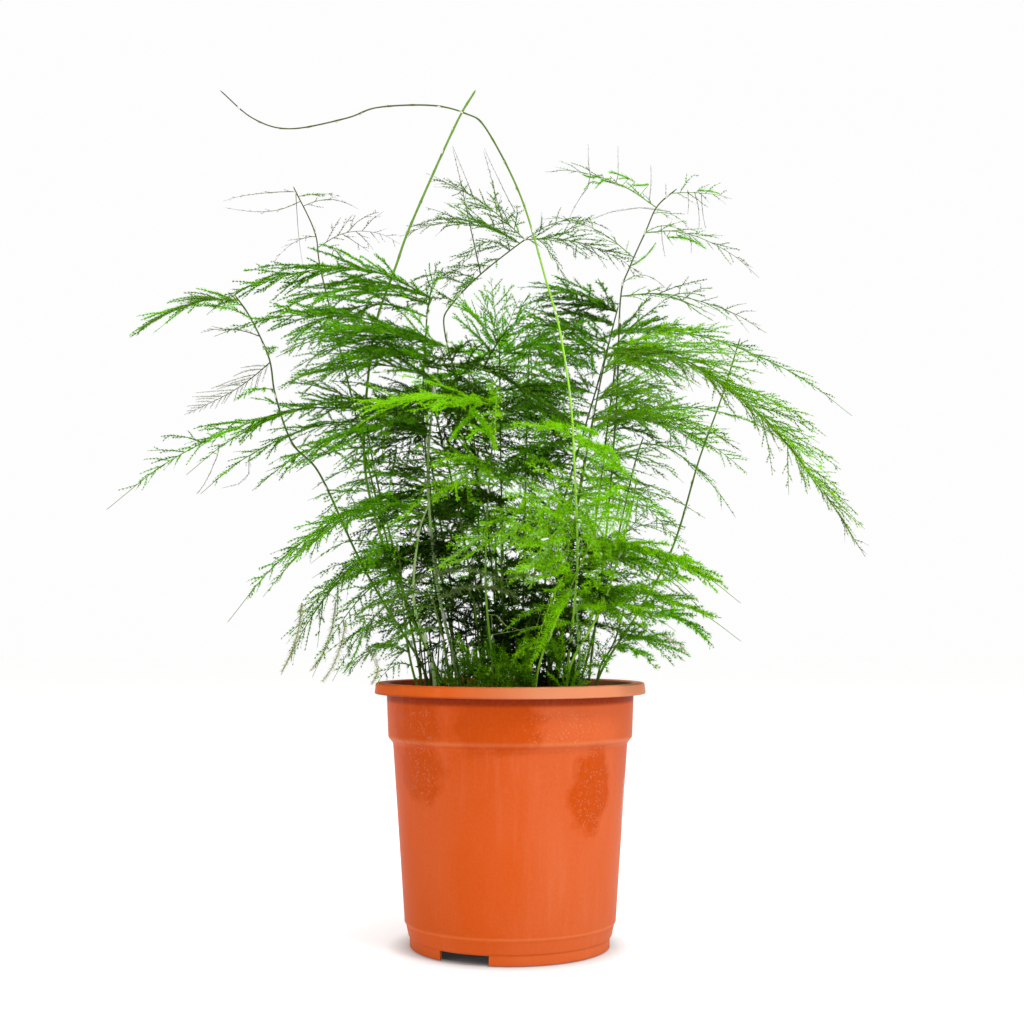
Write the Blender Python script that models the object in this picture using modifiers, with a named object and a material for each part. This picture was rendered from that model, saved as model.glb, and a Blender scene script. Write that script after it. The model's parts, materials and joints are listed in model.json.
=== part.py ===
# Potted asparagus fern: wiry stems with flat feathery sprays, standing in soil in a
# turned orange nursery pot. The origin is the middle of the pot's foot, where it stands.
#
# Sizes are in millimetres until a mesh is made. A place on the plant is given as it is
# seen from the front, in the upright plane through the pot's axis: how far across, how
# far up, and how far it really stands out towards the viewer. seen() then carries it
# there along the line of sight.

import math
import random

import bmesh
import bpy
import numpy as np
from mathutils import Vector

MM = 0.001
COLLECTION_NAME = "potted_asparagus_fern"
CUTTER_COLLECTION_NAME = "cutters"

# The viewer's eye, from the pot's own ellipses in the photograph.
EYE_DISTANCE = 667.0
EYE_HEIGHT = 139.7

# The pot.
POT_HEIGHT = 114.4
RIM_RADIUS = 60.0
RIM_DROP = 4.8
RIM_TOP_INSET = 0.5
COLLAR_TOP_RADIUS = 54.9
COLLAR_LOW_RADIUS = 53.9
COLLAR_DROP = 23.9
STEP_DROP = 26.4
STEP_RADIUS = 51.8
RIDGE_HEIGHT = 10.6
RIDGE_RADIUS = 45.9
FOOT_HEIGHT = 4.6
FOOT_RADIUS = 44.0
LEDGE = 0.5
WALL = 1.0
FOOT_WALL = 1.4
FLOOR_THICKNESS = 1.2
RIM_THICKNESS = 1.2
LIP_THICKNESS = 1.1
POT_SEGMENTS = 40
NOTCH_COUNT = 3
NOTCH_WIDTH = 23.0
NOTCH_HEIGHT = 4.2
NOTCH_BLOCK = (12.0, 10.0)
NOTCH_FIRST_ANGLE = -116.6
DRAIN_COUNT = 6
DRAIN_RADIUS = 4.0
DRAIN_RING_RADIUS = 30.0
DRAIN_SIDES = 10
CUTTER_DEPTH = 8.0

# The soil, and the clearance that pieces keep where they touch.
CLEARANCE = 0.3
SOIL_TOP = 101.0
SOIL_MOUND = 1.6
SOIL_SEGMENTS = 24
HOLE_DEPTH = 8.0
HOLE_SIDES = 4
HOLE_CLEARANCE = 0.55
STEM_SPACING = 5.5
STEM_REACH = 42.0
STEM_COLLAR = 2.0

# The shoots.
SIDES = 3
STEM_ROOT_RADIUS = 1.05
STEM_TIP_RADIUS = 0.7
CLIMBER_TIP_RADIUS = 0.55
RACHIS_ROOT_RADIUS = 0.72
RACHIS_TIP_RADIUS = 0.48
PINNA_RADIUS = 0.5
SUNK_RADIUS = 0.34
NEEDLE_LENGTH = 2.8
NEEDLE_LEAN = 1.3
WHORL_LENGTH = 0.9
STEM_TIP_LENGTH = 1.2
CROWN_LENGTH = 1.6
END_ROOM = 5.0
PINNA_SPACING = 17.6
LONG_PINNA = 24.0
SAMPLE = 3.0
CURVE_STEPS = 12
STRAIGHTEN = 0.5
KEEP_CLEAR = 1.4
BEND_REACH = 22.0
BEND_TRIES = 60
BEND_EASE = 6.0
STEM_FIXED = 14.0
SPRAY_FIXED = 3.0
PINNA_CLEAR = 0.45
NEEDLE_CLEAR = 0.3
NEEDLE_RADIUS = 0.35
SEED = 29

# How far side branches lean from their midrib, in degrees, and the swings and lifts that
# one tries until it is clear.
PINNA_ANGLE = 52
PINNA_SAG = 0.06
SHORTEST_PINNA = 4.2
PINNA_TRIES = [(0, 0), (0, 12), (0, -12), (12, 0), (-12, 0), (12, 14), (-12, -14), (0, 26),
               (0, -26), (-20, 18), (18, -22), (0, 38)]

# A midrib's arch: how far along, and how much of the arch's height it has there.
ARCH_SHAPE = [(0.25, 0.8), (0.5, 1.0), (0.78, 0.66)]
TIP_HANG = 0.02

# Each shoot: its name, where it stands in the soil (across, towards the viewer), the
# points that its stem passes, and its sprays. A spray has the place on the stem that it
# leaves, its tip, its width, the height of its arch, and its tilt in degrees.
CLIMBERS = [
    ("climber_curled", (24, 22),
     [(26, 124, 24), (30, 165, 34), (29, 210, 36), (27, 243, 34), (22, 275, 28), (17, 293, 24),
      (5, 334, 12), (-11, 366, 0), (-20, 373, -6), (-36, 377, -14), (-61, 376, -26),
      (-75, 371, -30), (-101, 366, -34), (-118, 371, -32), (-133, 384, -28)], []),
    ("climber_straight", (-30, 12),
     [(-34, 122, 12), (-50, 156, 20), (-63, 197, 24), (-66, 223, 22), (-65, 242, 18),
      (-61, 275, 10), (-52, 302, 2), (-45, 322, -6), (-25, 368, -26), (-16, 384, -34)], []),
    ("climber_right", (36, -4),
     [(42, 122, -4), (57, 145, -6), (73, 175, -10), (85, 214, -16), (95, 241, -22),
      (104, 269, -28)], []),
]

FRONT_SHOOTS = [
    ("shoot_left_tall", (-34, 2),
     [(-40, 123, 2), (-58, 152, 6), (-69, 172, 9), (-86, 208, 14), (-98, 221, 17),
      (-106, 243, 21), (-109, 260, 24), (-118, 279, 27), (-125, 289, 28)],
     [((-125, 289), (-171, 271, 44), 24, 5, 20), ((-120, 284), (-145, 284, 8), 10, 3, 0),
      ((-109, 258), (-147, 235, 30), 38, -3, 55), ((-106, 246), (-124, 241, 40), 12, 2, 0)]),
    ("shoot_left_arch", (-28, -8),
     [(-34, 123, -10), (-50, 160, -14), (-65, 215, -22), (-74, 252, -28), (-86, 300, -36),
      (-89, 318, -40), (-99, 339, -46)],
     [((-99, 339), (-131, 333, -60), 6, 1, 0), ((-96, 333), (-130, 330, -34), 6, -4, 0),
      ((-97, 335), (-78, 335, -62), 5, 1, 0), ((-88, 312), (-50, 313, -58), 28, 7, 50),
      ((-98, 337), (-94, 303, -34), 0, -7, 0)]),
    ("shoot_left_fan", (-20, -14),
     [(-24, 124, -13), (-32, 170, -6), (-39, 230, 0), (-38, 275, 0), (-36, 291, 2)],
     [((-36, 291), (-137, 281, 26), 54, 16, 22), ((-38, 280), (-33, 305, 6), 14, 1, 0),
      ((-39, 268), (-134, 272, 46), 46, 10, 16)]),
    ("shoot_left_tier", (-22, 8),
     [(-25, 124, 8), (-33, 160, 12), (-37, 210, 15), (-33, 252, 15), (-28, 268, 13)],
     [((-28, 268), (-104, 264, 50), 44, 9, 18), ((-33, 250), (-105, 248, 34), 42, 7, 14)]),
    ("shoot_left_long", (-38, 9),
     [(-41, 123, 9), (-49, 160, 8), (-60, 205, 7), (-67, 240, 7)],
     [((-67, 240), (-181, 194, 62), 50, 12, 24), ((-65, 232), (-139, 200, 20), 38, 8, 30),
      ((-63, 220), (-104, 207, 40), 22, 3, 10), ((-58, 199), (-91, 196, 4), 22, 2, 0)]),
    ("shoot_left_low", (-32, 20),
     [(-35, 124, 21), (-43, 150, 28), (-41, 180, 34), (-36, 195, 38)],
     [((-36, 195), (-126, 143, 62), 46, 16, 24), ((-41, 176), (-76, 158, 70), 30, 5, 20)]),
    ("shoot_left_droop", (-38, 19),
     [(-44, 122, 22), (-47, 140, 26), (-49, 165, 30), (-51, 176, 32)],
     [((-51, 176), (-102, 119, 46), 36, 13, 30), ((-49, 162), (-88, 118, 66), 24, 10, 30)]),
    ("shoot_left_pale", (-24, 32),
     [(-28, 122, 36), (-31, 138, 42), (-36, 156, 50)],
     [((-36, 156), (-79, 116, 78), 32, 11, 20), ((-31, 138), (-76, 120, 62), 16, 3, 10)]),
    ("shoot_centre_lime", (-8, 30),
     [(-8, 122, 31), (-11, 160, 38), (-9, 210, 43), (-5, 241, 46)],
     [((-5, 241), (-68, 238, 98), 48, 4, 8), ((-6, 238), (-7, 218, 82), 5, 12, 0)]),
    ("shoot_centre_dark", (-12, 14),
     [(-13, 124, 14), (-21, 180, 17), (-35, 240, 21), (-41, 259, 25)],
     [((-41, 259), (30, 229, 66), 46, 9, 10), ((-34, 236), (-66, 228, 66), 32, 5, 10)]),
    ("shoot_right_lime", (24, 32),
     [(27, 122, 33), (42, 150, 38), (54, 190, 43), (57, 206, 46)],
     [((57, 206), (-3, 229, 88), 30, 9, 20), ((54, 193), (-4, 178, 96), 58, 10, 22)]),
    ("shoot_front", (10, 36),
     [(13, 122, 38), (22, 145, 45), (34, 172, 52), (41, 187, 55)],
     [((41, 187), (6, 160, 118), 46, 10, 20), ((34, 171), (10, 126, 92), 6, 8, 0),
      ((39, 183), (-36, 165, 84), 26, 8, 20)]),
    ("shoot_right_bright", (28, 14),
     [(28, 124, 15), (27, 145, 21), (30, 165, 28), (33, 176, 32)],
     [((33, 176), (103, 151, 62), 48, 8, 22), ((28, 154), (103, 134, 50), 34, 9, 24)]),
    ("shoot_right_low", (36, 22),
     [(40, 121, 22), (46, 131, 23), (51, 147, 26)],
     [((51, 147), (91, 131, 42), 30, 6, 20), ((45, 129), (66, 120, 48), 16, 3, 10)]),
    ("shoot_right_arch", (16, 2),
     [(18, 124, 2), (26, 170, 5), (36, 225, 10), (42, 255, 15), (45, 268, 18)],
     [((45, 268), (159, 173, 20), 72, 24, 30), ((36, 233), (104, 219, 32), 42, 8, 16)]),
    ("shoot_right_high", (26, -12),
     [(28, 124, -13), (36, 170, -15), (44, 230, -12), (50, 276, -10)],
     [((50, 276), (154, 236, -34), 46, 11, 22), ((44, 232), (95, 217, 4), 38, 6, 14)]),
    ("shoot_right_tall", (34, 6),
     [(36, 124, 4), (43, 180, 0), (48, 240, 4), (50, 287, 12), (54, 301, 15), (62, 319, 19),
      (67, 330, 22), (76, 338, 25)],
     [((67, 330), (16, 347, 40), 26, 5, 30), ((76, 338), (101, 334, 44), 20, 1, 60),
      ((62, 319), (113, 298, 6), 22, 7, 20), ((50, 289), (116, 273, 44), 36, 6, 16),
      ((57, 307), (15, 325, -8), 20, 5, 20)]),
    ("shoot_upper_twig", (-4, -12),
     [(-5, 124, -12), (-10, 180, -14), (-22, 240, -18), (-30, 274, -20), (-27, 284, -21),
      (-14, 298, -24), (2, 311, -26), (9, 316, -27)],
     [((9, 316), (-37, 344, -48), 34, 4, 30), ((4, 312), (-50, 318, -4), 30, 7, 24),
      ((9, 316), (60, 299, -44), 36, 6, 26), ((-1, 309), (-31, 291, 6), 20, 11, 20)]),
    ("shoot_dark_top", (8, -22),
     [(10, 124, -22), (20, 180, -19), (40, 250, -15), (49, 284, -12)],
     [((49, 284), (11, 288, 16), 42, 5, 10), ((45, 268), (78, 268, -64), 38, 5, 14)]),
    ("shoot_centre_tuft", (-2, -26),
     [(-2, 124, -26), (-4, 200, -24), (-5, 268, -20)],
     [((-5, 268), (-9, 298, -28), 26, 0, 20), ((-5, 258), (29, 262, 14), 38, 6, 10),
      ((-4, 246), (-30, 262, -84), 38, 8, 14)]),
    ("shoot_right_mid", (30, -24),
     [(34, 124, -24), (46, 170, -21), (56, 212, -16), (60, 224, -14)],
     [((60, 224), (101, 189, 4), 30, 8, 24), ((48, 178), (78, 183, 2), 28, 4, 14)]),
]

# Shoots that the others hide, or that stand behind: their direction round the pot in
# degrees (0 right, 90 away from the viewer), how far out and how high their stems end,
# and how far their sprays reach and drop.
BACK_SHOOTS = [
    ("shoot_back_a", 28, 44, 238, 84, 22),
    ("shoot_back_b", 52, 58, 214, 92, 44),
    ("shoot_back_c", 76, 38, 276, 84, 26),
    ("shoot_back_d", 98, 56, 196, 66, 40),
    ("shoot_back_e", 120, 40, 262, 90, 24),
    ("shoot_back_f", 144, 58, 206, 88, 46),
    ("shoot_back_g", 166, 42, 236, 80, 26),
    ("shoot_inner_a", 205, 20, 176, 56, 12),
    ("shoot_inner_b", 255, 18, 196, 62, 10),
    ("shoot_inner_c", 300, 22, 166, 54, 14),
    ("shoot_inner_d", 340, 30, 202, 60, 16),
    ("shoot_inner_e", 60, 26, 158, 56, 18),
]


def seen(across, up, toward):
    """The real place of a point that is seen at across and up in the axis plane."""
    nearer = 1.0 - toward / EYE_DISTANCE
    height = EYE_HEIGHT + (up - EYE_HEIGHT) * nearer
    return np.array((across * nearer, -toward, height))


def unit(vector):
    """The vector at length one."""
    return vector / max(float(np.linalg.norm(vector)), 1e-9)


def smooth_path(knots, spacing=SAMPLE):
    """Points at even spacing on a smooth curve through the knots."""
    knots = [np.asarray(knot, float) for knot in knots]
    padded = [2 * knots[0] - knots[1]] + knots + [2 * knots[-1] - knots[-2]]
    dense = []
    for before, start, end, after in zip(padded, padded[1:], padded[2:], padded[3:]):
        for share in np.linspace(0, 1, CURVE_STEPS, endpoint=False):
            dense.append(0.5 * (2 * start + (end - before) * share
                                + (2 * before - 5 * start + 4 * end - after) * share ** 2
                                + (3 * start - before - 3 * end + after) * share ** 3))
    dense.append(knots[-1])
    dense = np.array(dense)
    run = np.concatenate(([0], np.cumsum(np.linalg.norm(np.diff(dense, axis=0), axis=1))))
    count = max(int(round(run[-1] / spacing)), 3)
    marks = np.linspace(0, run[-1], count + 1)
    return np.stack([np.interp(marks, run, dense[:, axis]) for axis in range(3)], axis=1)


def segment_gaps(starts, ends, others_start, others_end):
    """Closest distance and closest points between each segment and each other segment."""
    d1 = (ends - starts)[:, None, :]
    d2 = (others_end - others_start)[None, :, :]
    r = starts[:, None, :] - others_start[None, :, :]
    a = np.maximum((d1 * d1).sum(-1), 1e-9)
    e = np.maximum((d2 * d2).sum(-1), 1e-9)
    f = (d2 * r).sum(-1)
    c = (d1 * r).sum(-1)
    b = (d1 * d2).sum(-1)
    denominator = a * e - b * b
    s = np.where(denominator > 1e-9, (b * f - c * e) / np.maximum(denominator, 1e-9), 0.0)
    s = np.clip(s, 0, 1)
    t = np.clip((b * s + f) / e, 0, 1)
    s = np.clip((b * t - c) / a, 0, 1)
    near = starts[:, None, :] + d1 * s[..., None]
    other = others_start[None, :, :] + d2 * t[..., None]
    return np.linalg.norm(near - other, axis=-1), near, other


class Placed:
    """The segments that are already placed, with their radius and the shoot they are on."""

    def __init__(self):
        self.starts = np.zeros((0, 3))
        self.ends = np.zeros((0, 3))
        self.radii = np.zeros(0)
        self.owners = np.zeros(0, int)

    def add(self, points, radii, owner):
        """Adds a run of points as segments."""
        points = np.asarray(points, float)
        widest = np.maximum(radii[:-1], radii[1:])
        self.starts = np.vstack((self.starts, points[:-1]))
        self.ends = np.vstack((self.ends, points[1:]))
        self.radii = np.concatenate((self.radii, widest))
        self.owners = np.concatenate((self.owners, np.full(len(points) - 1, owner)))

    def others(self, owner):
        """What belongs to the other shoots."""
        mask = self.owners != owner
        return self.starts[mask], self.ends[mask], self.radii[mask]

    def is_clear(self, points, radius, owner, gap):
        """Whether a run of points keeps the gap to every other shoot."""
        starts, ends, radii = self.others(owner)
        if not len(radii):
            return True
        points = np.asarray(points, float)
        distance, _, _ = segment_gaps(points[:-1], points[1:], starts, ends)
        return bool((distance - radii[None, :]).min() >= radius + gap)


def bend_clear(points, radius, placed, owner, fixed):
    """Bends a run of points away from what the other shoots hold."""
    starts, ends, radii = placed.others(owner)
    if not len(radii):
        return points
    points = points.copy()
    for _ in range(BEND_TRIES):
        distance, near, other = segment_gaps(points[:-1], points[1:], starts, ends)
        room = distance - radii[None, :] - radius - KEEP_CLEAR
        index, against = np.unravel_index(np.argmin(room), room.shape)
        if room[index, against] >= 0:
            break
        push = near[index, against] - other[index, against]
        if np.linalg.norm(push) < 0.05:
            push = np.cross(points[index + 1] - points[index], ends[against] - starts[against])
        run = np.linalg.norm(points - near[index, against], axis=1)
        weight = np.where(run < BEND_REACH, 0.5 + 0.5 * np.cos(np.pi * run / BEND_REACH), 0)
        from_root = np.arange(len(points)) * SAMPLE
        weight = weight * np.clip((from_root - fixed) / BEND_EASE, 0, 1)
        top = weight[index:index + 2].max()
        if top < 0.05:
            break
        points += unit(push) * (0.15 - room[index, against]) * (weight / top)[:, None]
    return points


def nearest_index(points, across, up):
    """The point of a stem that is seen closest to across and up."""
    nearer = 1.0 + points[:, 1] / EYE_DISTANCE
    seen_across = points[:, 0] / nearer
    seen_up = EYE_HEIGHT + (points[:, 2] - EYE_HEIGHT) / nearer
    return int(np.argmin((seen_across - across) ** 2 + (seen_up - up) ** 2))


def spray_knots(root, tip, arch):
    """The knots of a spray's midrib: it leaves its stem, arches, and hangs at its tip."""
    span = tip - root
    length = float(np.linalg.norm(span))
    lift = np.array((0, 0, arch))
    middle = [root + span * share + lift * height for share, height in ARCH_SHAPE]
    return [root] + middle + [tip - np.array((0, 0, TIP_HANG * length))]


def free_spot(wanted, taken):
    """A place in the soil near the wanted one that keeps off every other stem."""
    for ring in range(40):
        for turn in range(12):
            angle = math.radians(30 * turn)
            spot = (wanted[0] + ring * math.cos(angle), wanted[1] + ring * math.sin(angle))
            if math.hypot(*spot) > STEM_REACH:
                continue
            if all(math.hypot(spot[0] - x, spot[1] - y) >= STEM_SPACING for x, y in taken):
                return spot
    return wanted


def back_shoot_plan(entry, taken, draw):
    """Works out one hidden shoot: its place in the soil, its stem and its sprays."""
    name, direction, reach, top, length, drop = entry
    angle = math.radians(direction)
    out = np.array((math.cos(angle), math.sin(angle), 0))
    wanted = (out[0] * min(reach * 0.55, 34), -out[1] * min(reach * 0.55, 34))
    base = free_spot(wanted, taken)
    foot = np.array((base[0], -base[1], 0))
    head = out * reach + np.array((0, 0, top))
    knots = [foot * 0.75 + head * 0.25, foot * 0.4 + head * 0.6, head]
    knots[0][2] = SOIL_TOP + (top - SOIL_TOP) * 0.32
    knots[1][2] = SOIL_TOP + (top - SOIL_TOP) * 0.72
    sprays = []
    sides = (1, -1) if reach > 50 else (draw.choice((1, -1)),)
    for place, turn in ((1.0, draw.uniform(-14, 14)), (0.74, draw.uniform(38, 70)),):
        for side in sides if place < 1 else (1,):
            swing = angle + math.radians(turn * side)
            way = np.array((math.cos(swing), math.sin(swing), 0))
            size = length * (1.0 if place == 1 else draw.uniform(0.62, 0.8))
            fall = np.array((0, 0, -drop * draw.uniform(0.8, 1.2) * (size / length)))
            sprays.append((place, way * size + fall, size * 0.5, size * 0.1, 12 * side))
    return name, base, knots, sprays


class Shoot:
    """One stem with its sprays, as runs of points."""

    def __init__(self, name, base, knots, owner, climber):
        self.name = name
        self.base = base
        self.owner = owner
        self.climber = climber
        across, toward = base
        foot = np.array((across, -toward, SOIL_TOP - HOLE_DEPTH + CLEARANCE))
        collar = foot + np.array((0, 0, HOLE_DEPTH + SOIL_MOUND + STEM_COLLAR))
        self.stem = smooth_path([foot, collar] + knots)
        self.sprays = []

    def stem_radii(self, count):
        """The stem's radius at each of count points, tapering to its tip."""
        tip = CLIMBER_TIP_RADIUS if self.climber else STEM_TIP_RADIUS
        return np.linspace(STEM_ROOT_RADIUS, tip, count)


def plan_shoots():
    """Every shoot with its stem bent clear of the others, and then its sprays."""
    draw = random.Random(SEED)
    taken = [entry[1] for entry in CLIMBERS + FRONT_SHOOTS]
    shoots = []
    wishes = []
    for entry in CLIMBERS + FRONT_SHOOTS:
        name, base, path, sprays = entry
        shoot = Shoot(name, base, [seen(*point) for point in path], len(shoots), not sprays)
        shoots.append(shoot)
        wishes.append(("seen", sprays))
    for entry in BACK_SHOOTS:
        name, base, knots, sprays = back_shoot_plan(entry, taken, draw)
        taken.append(base)
        shoots.append(Shoot(name, base, knots, len(shoots), False))
        wishes.append(("along", sprays))
    placed = Placed()
    for shoot in shoots:
        shoot.stem = bend_clear(shoot.stem, STEM_ROOT_RADIUS, placed, shoot.owner, STEM_FIXED)
        placed.add(shoot.stem, shoot.stem_radii(len(shoot.stem)), shoot.owner)
    for shoot, (kind, sprays) in zip(shoots, wishes):
        for spray in sprays:
            if kind == "seen":
                (across, up), tip, width, arch, tilt = spray
                index = min(nearest_index(shoot.stem, across, up), len(shoot.stem) - 2)
                tip = seen(*tip)
            else:
                place, reach, width, arch, tilt = spray
                index = int(round(place * (len(shoot.stem) - 2)))
                tip = shoot.stem[index] + reach
            root = shoot.stem[index]
            run = smooth_path(spray_knots(root, tip, arch))
            run = bend_clear(run, RACHIS_ROOT_RADIUS, placed, shoot.owner, SPRAY_FIXED)
            placed.add(run, np.full(len(run), RACHIS_ROOT_RADIUS), shoot.owner)
            shoot.sprays.append((run, float(width), math.radians(tilt), index))
    return shoots, placed


def straightened(points, tolerance=STRAIGHTEN):
    """Drops the points that lie within the tolerance of a straight run."""
    keep = [0, len(points) - 1]
    stack = [(0, len(points) - 1)]
    while stack:
        first, last = stack.pop()
        if last - first < 2:
            continue
        inner = points[first + 1:last]
        way = unit(points[last] - points[first])
        offset = inner - points[first]
        away = np.linalg.norm(offset - np.outer(offset @ way, way), axis=1)
        worst = int(np.argmax(away))
        if away[worst] > tolerance:
            middle = first + 1 + worst
            keep.append(middle)
            stack += [(first, middle), (middle, last)]
    return points[sorted(keep)]


def open_end(points):
    """Drops the points that lie too close before the end of a run."""
    gaps = np.linalg.norm(points - points[-1], axis=1)
    keep = [0] + [i for i in range(1, len(points) - 1) if gaps[i] > END_ROOM]
    return points[keep + [len(points) - 1]]


def at_run(points, distance):
    """The place and direction at a distance along a run of points."""
    left = distance
    for start, end in zip(points, points[1:]):
        length = float(np.linalg.norm(end - start))
        if left <= length:
            return start + (end - start) * (left / length), unit(end - start)
        left -= length
    return points[-1], unit(points[-1] - points[-2])


def run_length(points):
    """The length of a run of points."""
    return float(np.linalg.norm(np.diff(points, axis=0), axis=1).sum())


def flat_side(along, tilt):
    """The level direction across a spray, tilted about its midrib."""
    level = unit(np.cross(along, np.array((0.0, 0.0, 1.0))))
    over = unit(np.cross(level, along))
    return level * math.cos(tilt) + over * math.sin(tilt)


def grow_branch(name, rings, tip, has_crown=False):
    """Skins rings of corners into one closed branch with whorls of needles.

    Each ring is its centre, its radius, and whether needles rise from the band that
    ends at it. The branch ends in a point at its tip, which may have a crown of needles.
    """
    bm = bmesh.new()
    bmesh.ops.create_circle(bm, cap_ends=True, radius=rings[0][1], segments=SIDES)
    face = bm.faces[:][0]
    centres = [Vector(ring[0]) for ring in rings] + [Vector(tip)]
    ways = [(after - before).normalized() for before, after in zip(centres, centres[1:])]
    start_turn = Vector((0, 0, 1)).rotation_difference(ways[0])
    for vertex in face.verts:
        vertex.co = start_turn @ vertex.co + centres[0]
    way = ways[0]
    for number in range(1, len(rings)):
        centre, radius, has_needles = centres[number], rings[number][1], rings[number][2]
        mean_way = (ways[number - 1] + ways[number]).normalized()
        turn = way.rotation_difference(mean_way)
        scale = radius / rings[number - 1][1]
        made = bmesh.ops.extrude_face_region(bm, geom=[face])["geom"]
        corners = [part for part in made if isinstance(part, bmesh.types.BMVert)]
        if number > 1:
            bmesh.ops.delete(bm, geom=[face], context="FACES_ONLY")
        face = [part for part in made if isinstance(part, bmesh.types.BMFace)][0]
        for corner in corners:
            corner.co = centre + turn @ ((corner.co - centres[number - 1]) * scale)
        way = mean_way
        if has_needles:
            sides = {side for corner in corners for side in corner.link_faces} - {face}
            sides = sorted(sides, key=lambda side: side.calc_center_median().to_tuple())
            poked = bmesh.ops.poke(bm, faces=sides, offset=NEEDLE_LENGTH)["verts"]
            for point in poked:
                point.co += ways[number - 1] * NEEDLE_LEAN
    point = bmesh.ops.poke(bm, faces=[face])["verts"][0]
    point.co = centres[-1]
    if has_crown:
        sides = sorted(point.link_faces, key=lambda side: side.calc_center_median().to_tuple())
        poked = bmesh.ops.poke(bm, faces=sides, offset=NEEDLE_LENGTH)["verts"]
        for needle_tip in poked:
            needle_tip.co += ways[-1] * NEEDLE_LEAN
    bmesh.ops.scale(bm, vec=(MM, MM, MM), verts=bm.verts)
    bmesh.ops.recalc_face_normals(bm, faces=bm.faces)
    mesh = bpy.data.meshes.new(name)
    bm.to_mesh(mesh)
    bm.free()
    return bpy.data.objects.new(name, mesh)


def stem_rings(points, radii):
    """Plain rings along a run of points, the last one just before its end."""
    rings = [(point, radius, False) for point, radius in zip(points[:-1], radii[:-1])]
    last_way = unit(points[-1] - points[-2])
    return rings + [(points[-1] - last_way * STEM_TIP_LENGTH, radii[-1], False)]


def pinna_rings(root, way, length, whorls, has_crown):
    """The rings of a side branch: sunk root, then a band with needles at each whorl."""
    rings = [(root, SUNK_RADIUS, False)]
    for share in whorls:
        place = root + way * (length * share)
        rings.append((place, PINNA_RADIUS, False))
        rings.append((place + way * WHORL_LENGTH, PINNA_RADIUS * 0.96, True))
    if has_crown:
        rings.append((root + way * (length - CROWN_LENGTH), PINNA_RADIUS, False))
    return rings


def needle_fan(root, way, length, whorls):
    """Short runs that stand for the needles of a side branch, for keeping clear."""
    runs = []
    side = unit(np.cross(way, np.array((0.3, 0.2, 1.0))))
    other = np.cross(way, side)
    for share in whorls:
        foot = root + way * (length * share + NEEDLE_LEAN * 0.5)
        for turn in range(6):
            angle = math.radians(60 * turn)
            out = side * math.cos(angle) + other * math.sin(angle)
            runs.append((foot, foot + out * (NEEDLE_LENGTH + 0.6) + way * NEEDLE_LEAN))
    return runs


def pinna_width(share):
    """How wide a spray is along its length, as a share of its greatest width."""
    return math.sin(math.pi * min(0.16 + 0.84 * share, 1.0) ** 0.62) ** 0.8


def spray_objects(shoot, number, spray, placed, draw):
    """The midrib and side branches of one spray, each clear of the other shoots."""
    run, width, tilt, _ = spray
    line = open_end(straightened(run))
    length = run_length(line)
    radii = np.linspace(RACHIS_ROOT_RADIUS, RACHIS_TIP_RADIUS, len(line))
    radii[0] = SUNK_RADIUS + 0.1
    rings = [(point, radius, False) for point, radius in zip(line[:-1], radii[:-1])]
    last_way = unit(line[-1] - line[-2])
    rings.append((line[-1] - last_way * CROWN_LENGTH, RACHIS_TIP_RADIUS, False))
    name = f"{shoot.name}_spray_{number}"
    objects = [grow_branch(name, rings, line[-1], width > 0)]
    if width <= 0:
        return objects
    count = max(int(length / PINNA_SPACING), 2)
    for index in range(count):
        share = (index + 0.7) / (count + 0.4)
        side = 1 if (index + number) % 2 else -1
        root, along = at_run(line, length * share)
        across = flat_side(along, tilt)
        half = max(width * 0.5 * pinna_width(share), SHORTEST_PINNA)
        reach = half / math.sin(math.radians(PINNA_ANGLE))
        has_crown = index % 2 == 0
        whorls = ((), (0.55,))[int(reach > LONG_PINNA or not has_crown)]
        for swing, lift in PINNA_TRIES:
            angle = math.radians(PINNA_ANGLE + swing)
            over = np.cross(across, along) * math.sin(math.radians(lift))
            way = unit(along * math.cos(angle) + across * side * math.sin(angle) + over)
            tip = root + way * reach - np.array((0, 0, reach * PINNA_SAG))
            way = unit(tip - root)
            long_way = float(np.linalg.norm(tip - root))
            marks = whorls + (1.0 - CROWN_LENGTH / long_way,) * has_crown
            fan = needle_fan(root, way, long_way, marks)
            start = root + way * 1.2
            fine = placed.is_clear([start, tip], PINNA_RADIUS, shoot.owner, PINNA_CLEAR)
            for foot, end in fan:
                fine = fine and placed.is_clear([foot, end], NEEDLE_RADIUS, shoot.owner,
                                                NEEDLE_CLEAR)
            if fine:
                rings = pinna_rings(root, way, long_way, whorls, has_crown)
                objects.append(grow_branch(f"{name}_{index}", rings, tip, has_crown))
                placed.add([root, tip], np.full(2, PINNA_RADIUS), shoot.owner)
                for foot, end in fan:
                    placed.add([foot, end], np.full(2, NEEDLE_RADIUS), shoot.owner)
                break
    return objects


def make_material(name, colour, roughness):
    """A plain material with its colour and roughness."""
    material = bpy.data.materials.new(name)
    material.use_nodes = True
    shader = material.node_tree.nodes["Principled BSDF"]
    shader.inputs["Base Color"].default_value = (*colour, 1.0)
    shader.inputs["Roughness"].default_value = roughness
    shader.inputs["Metallic"].default_value = 0.0
    return material


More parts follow.
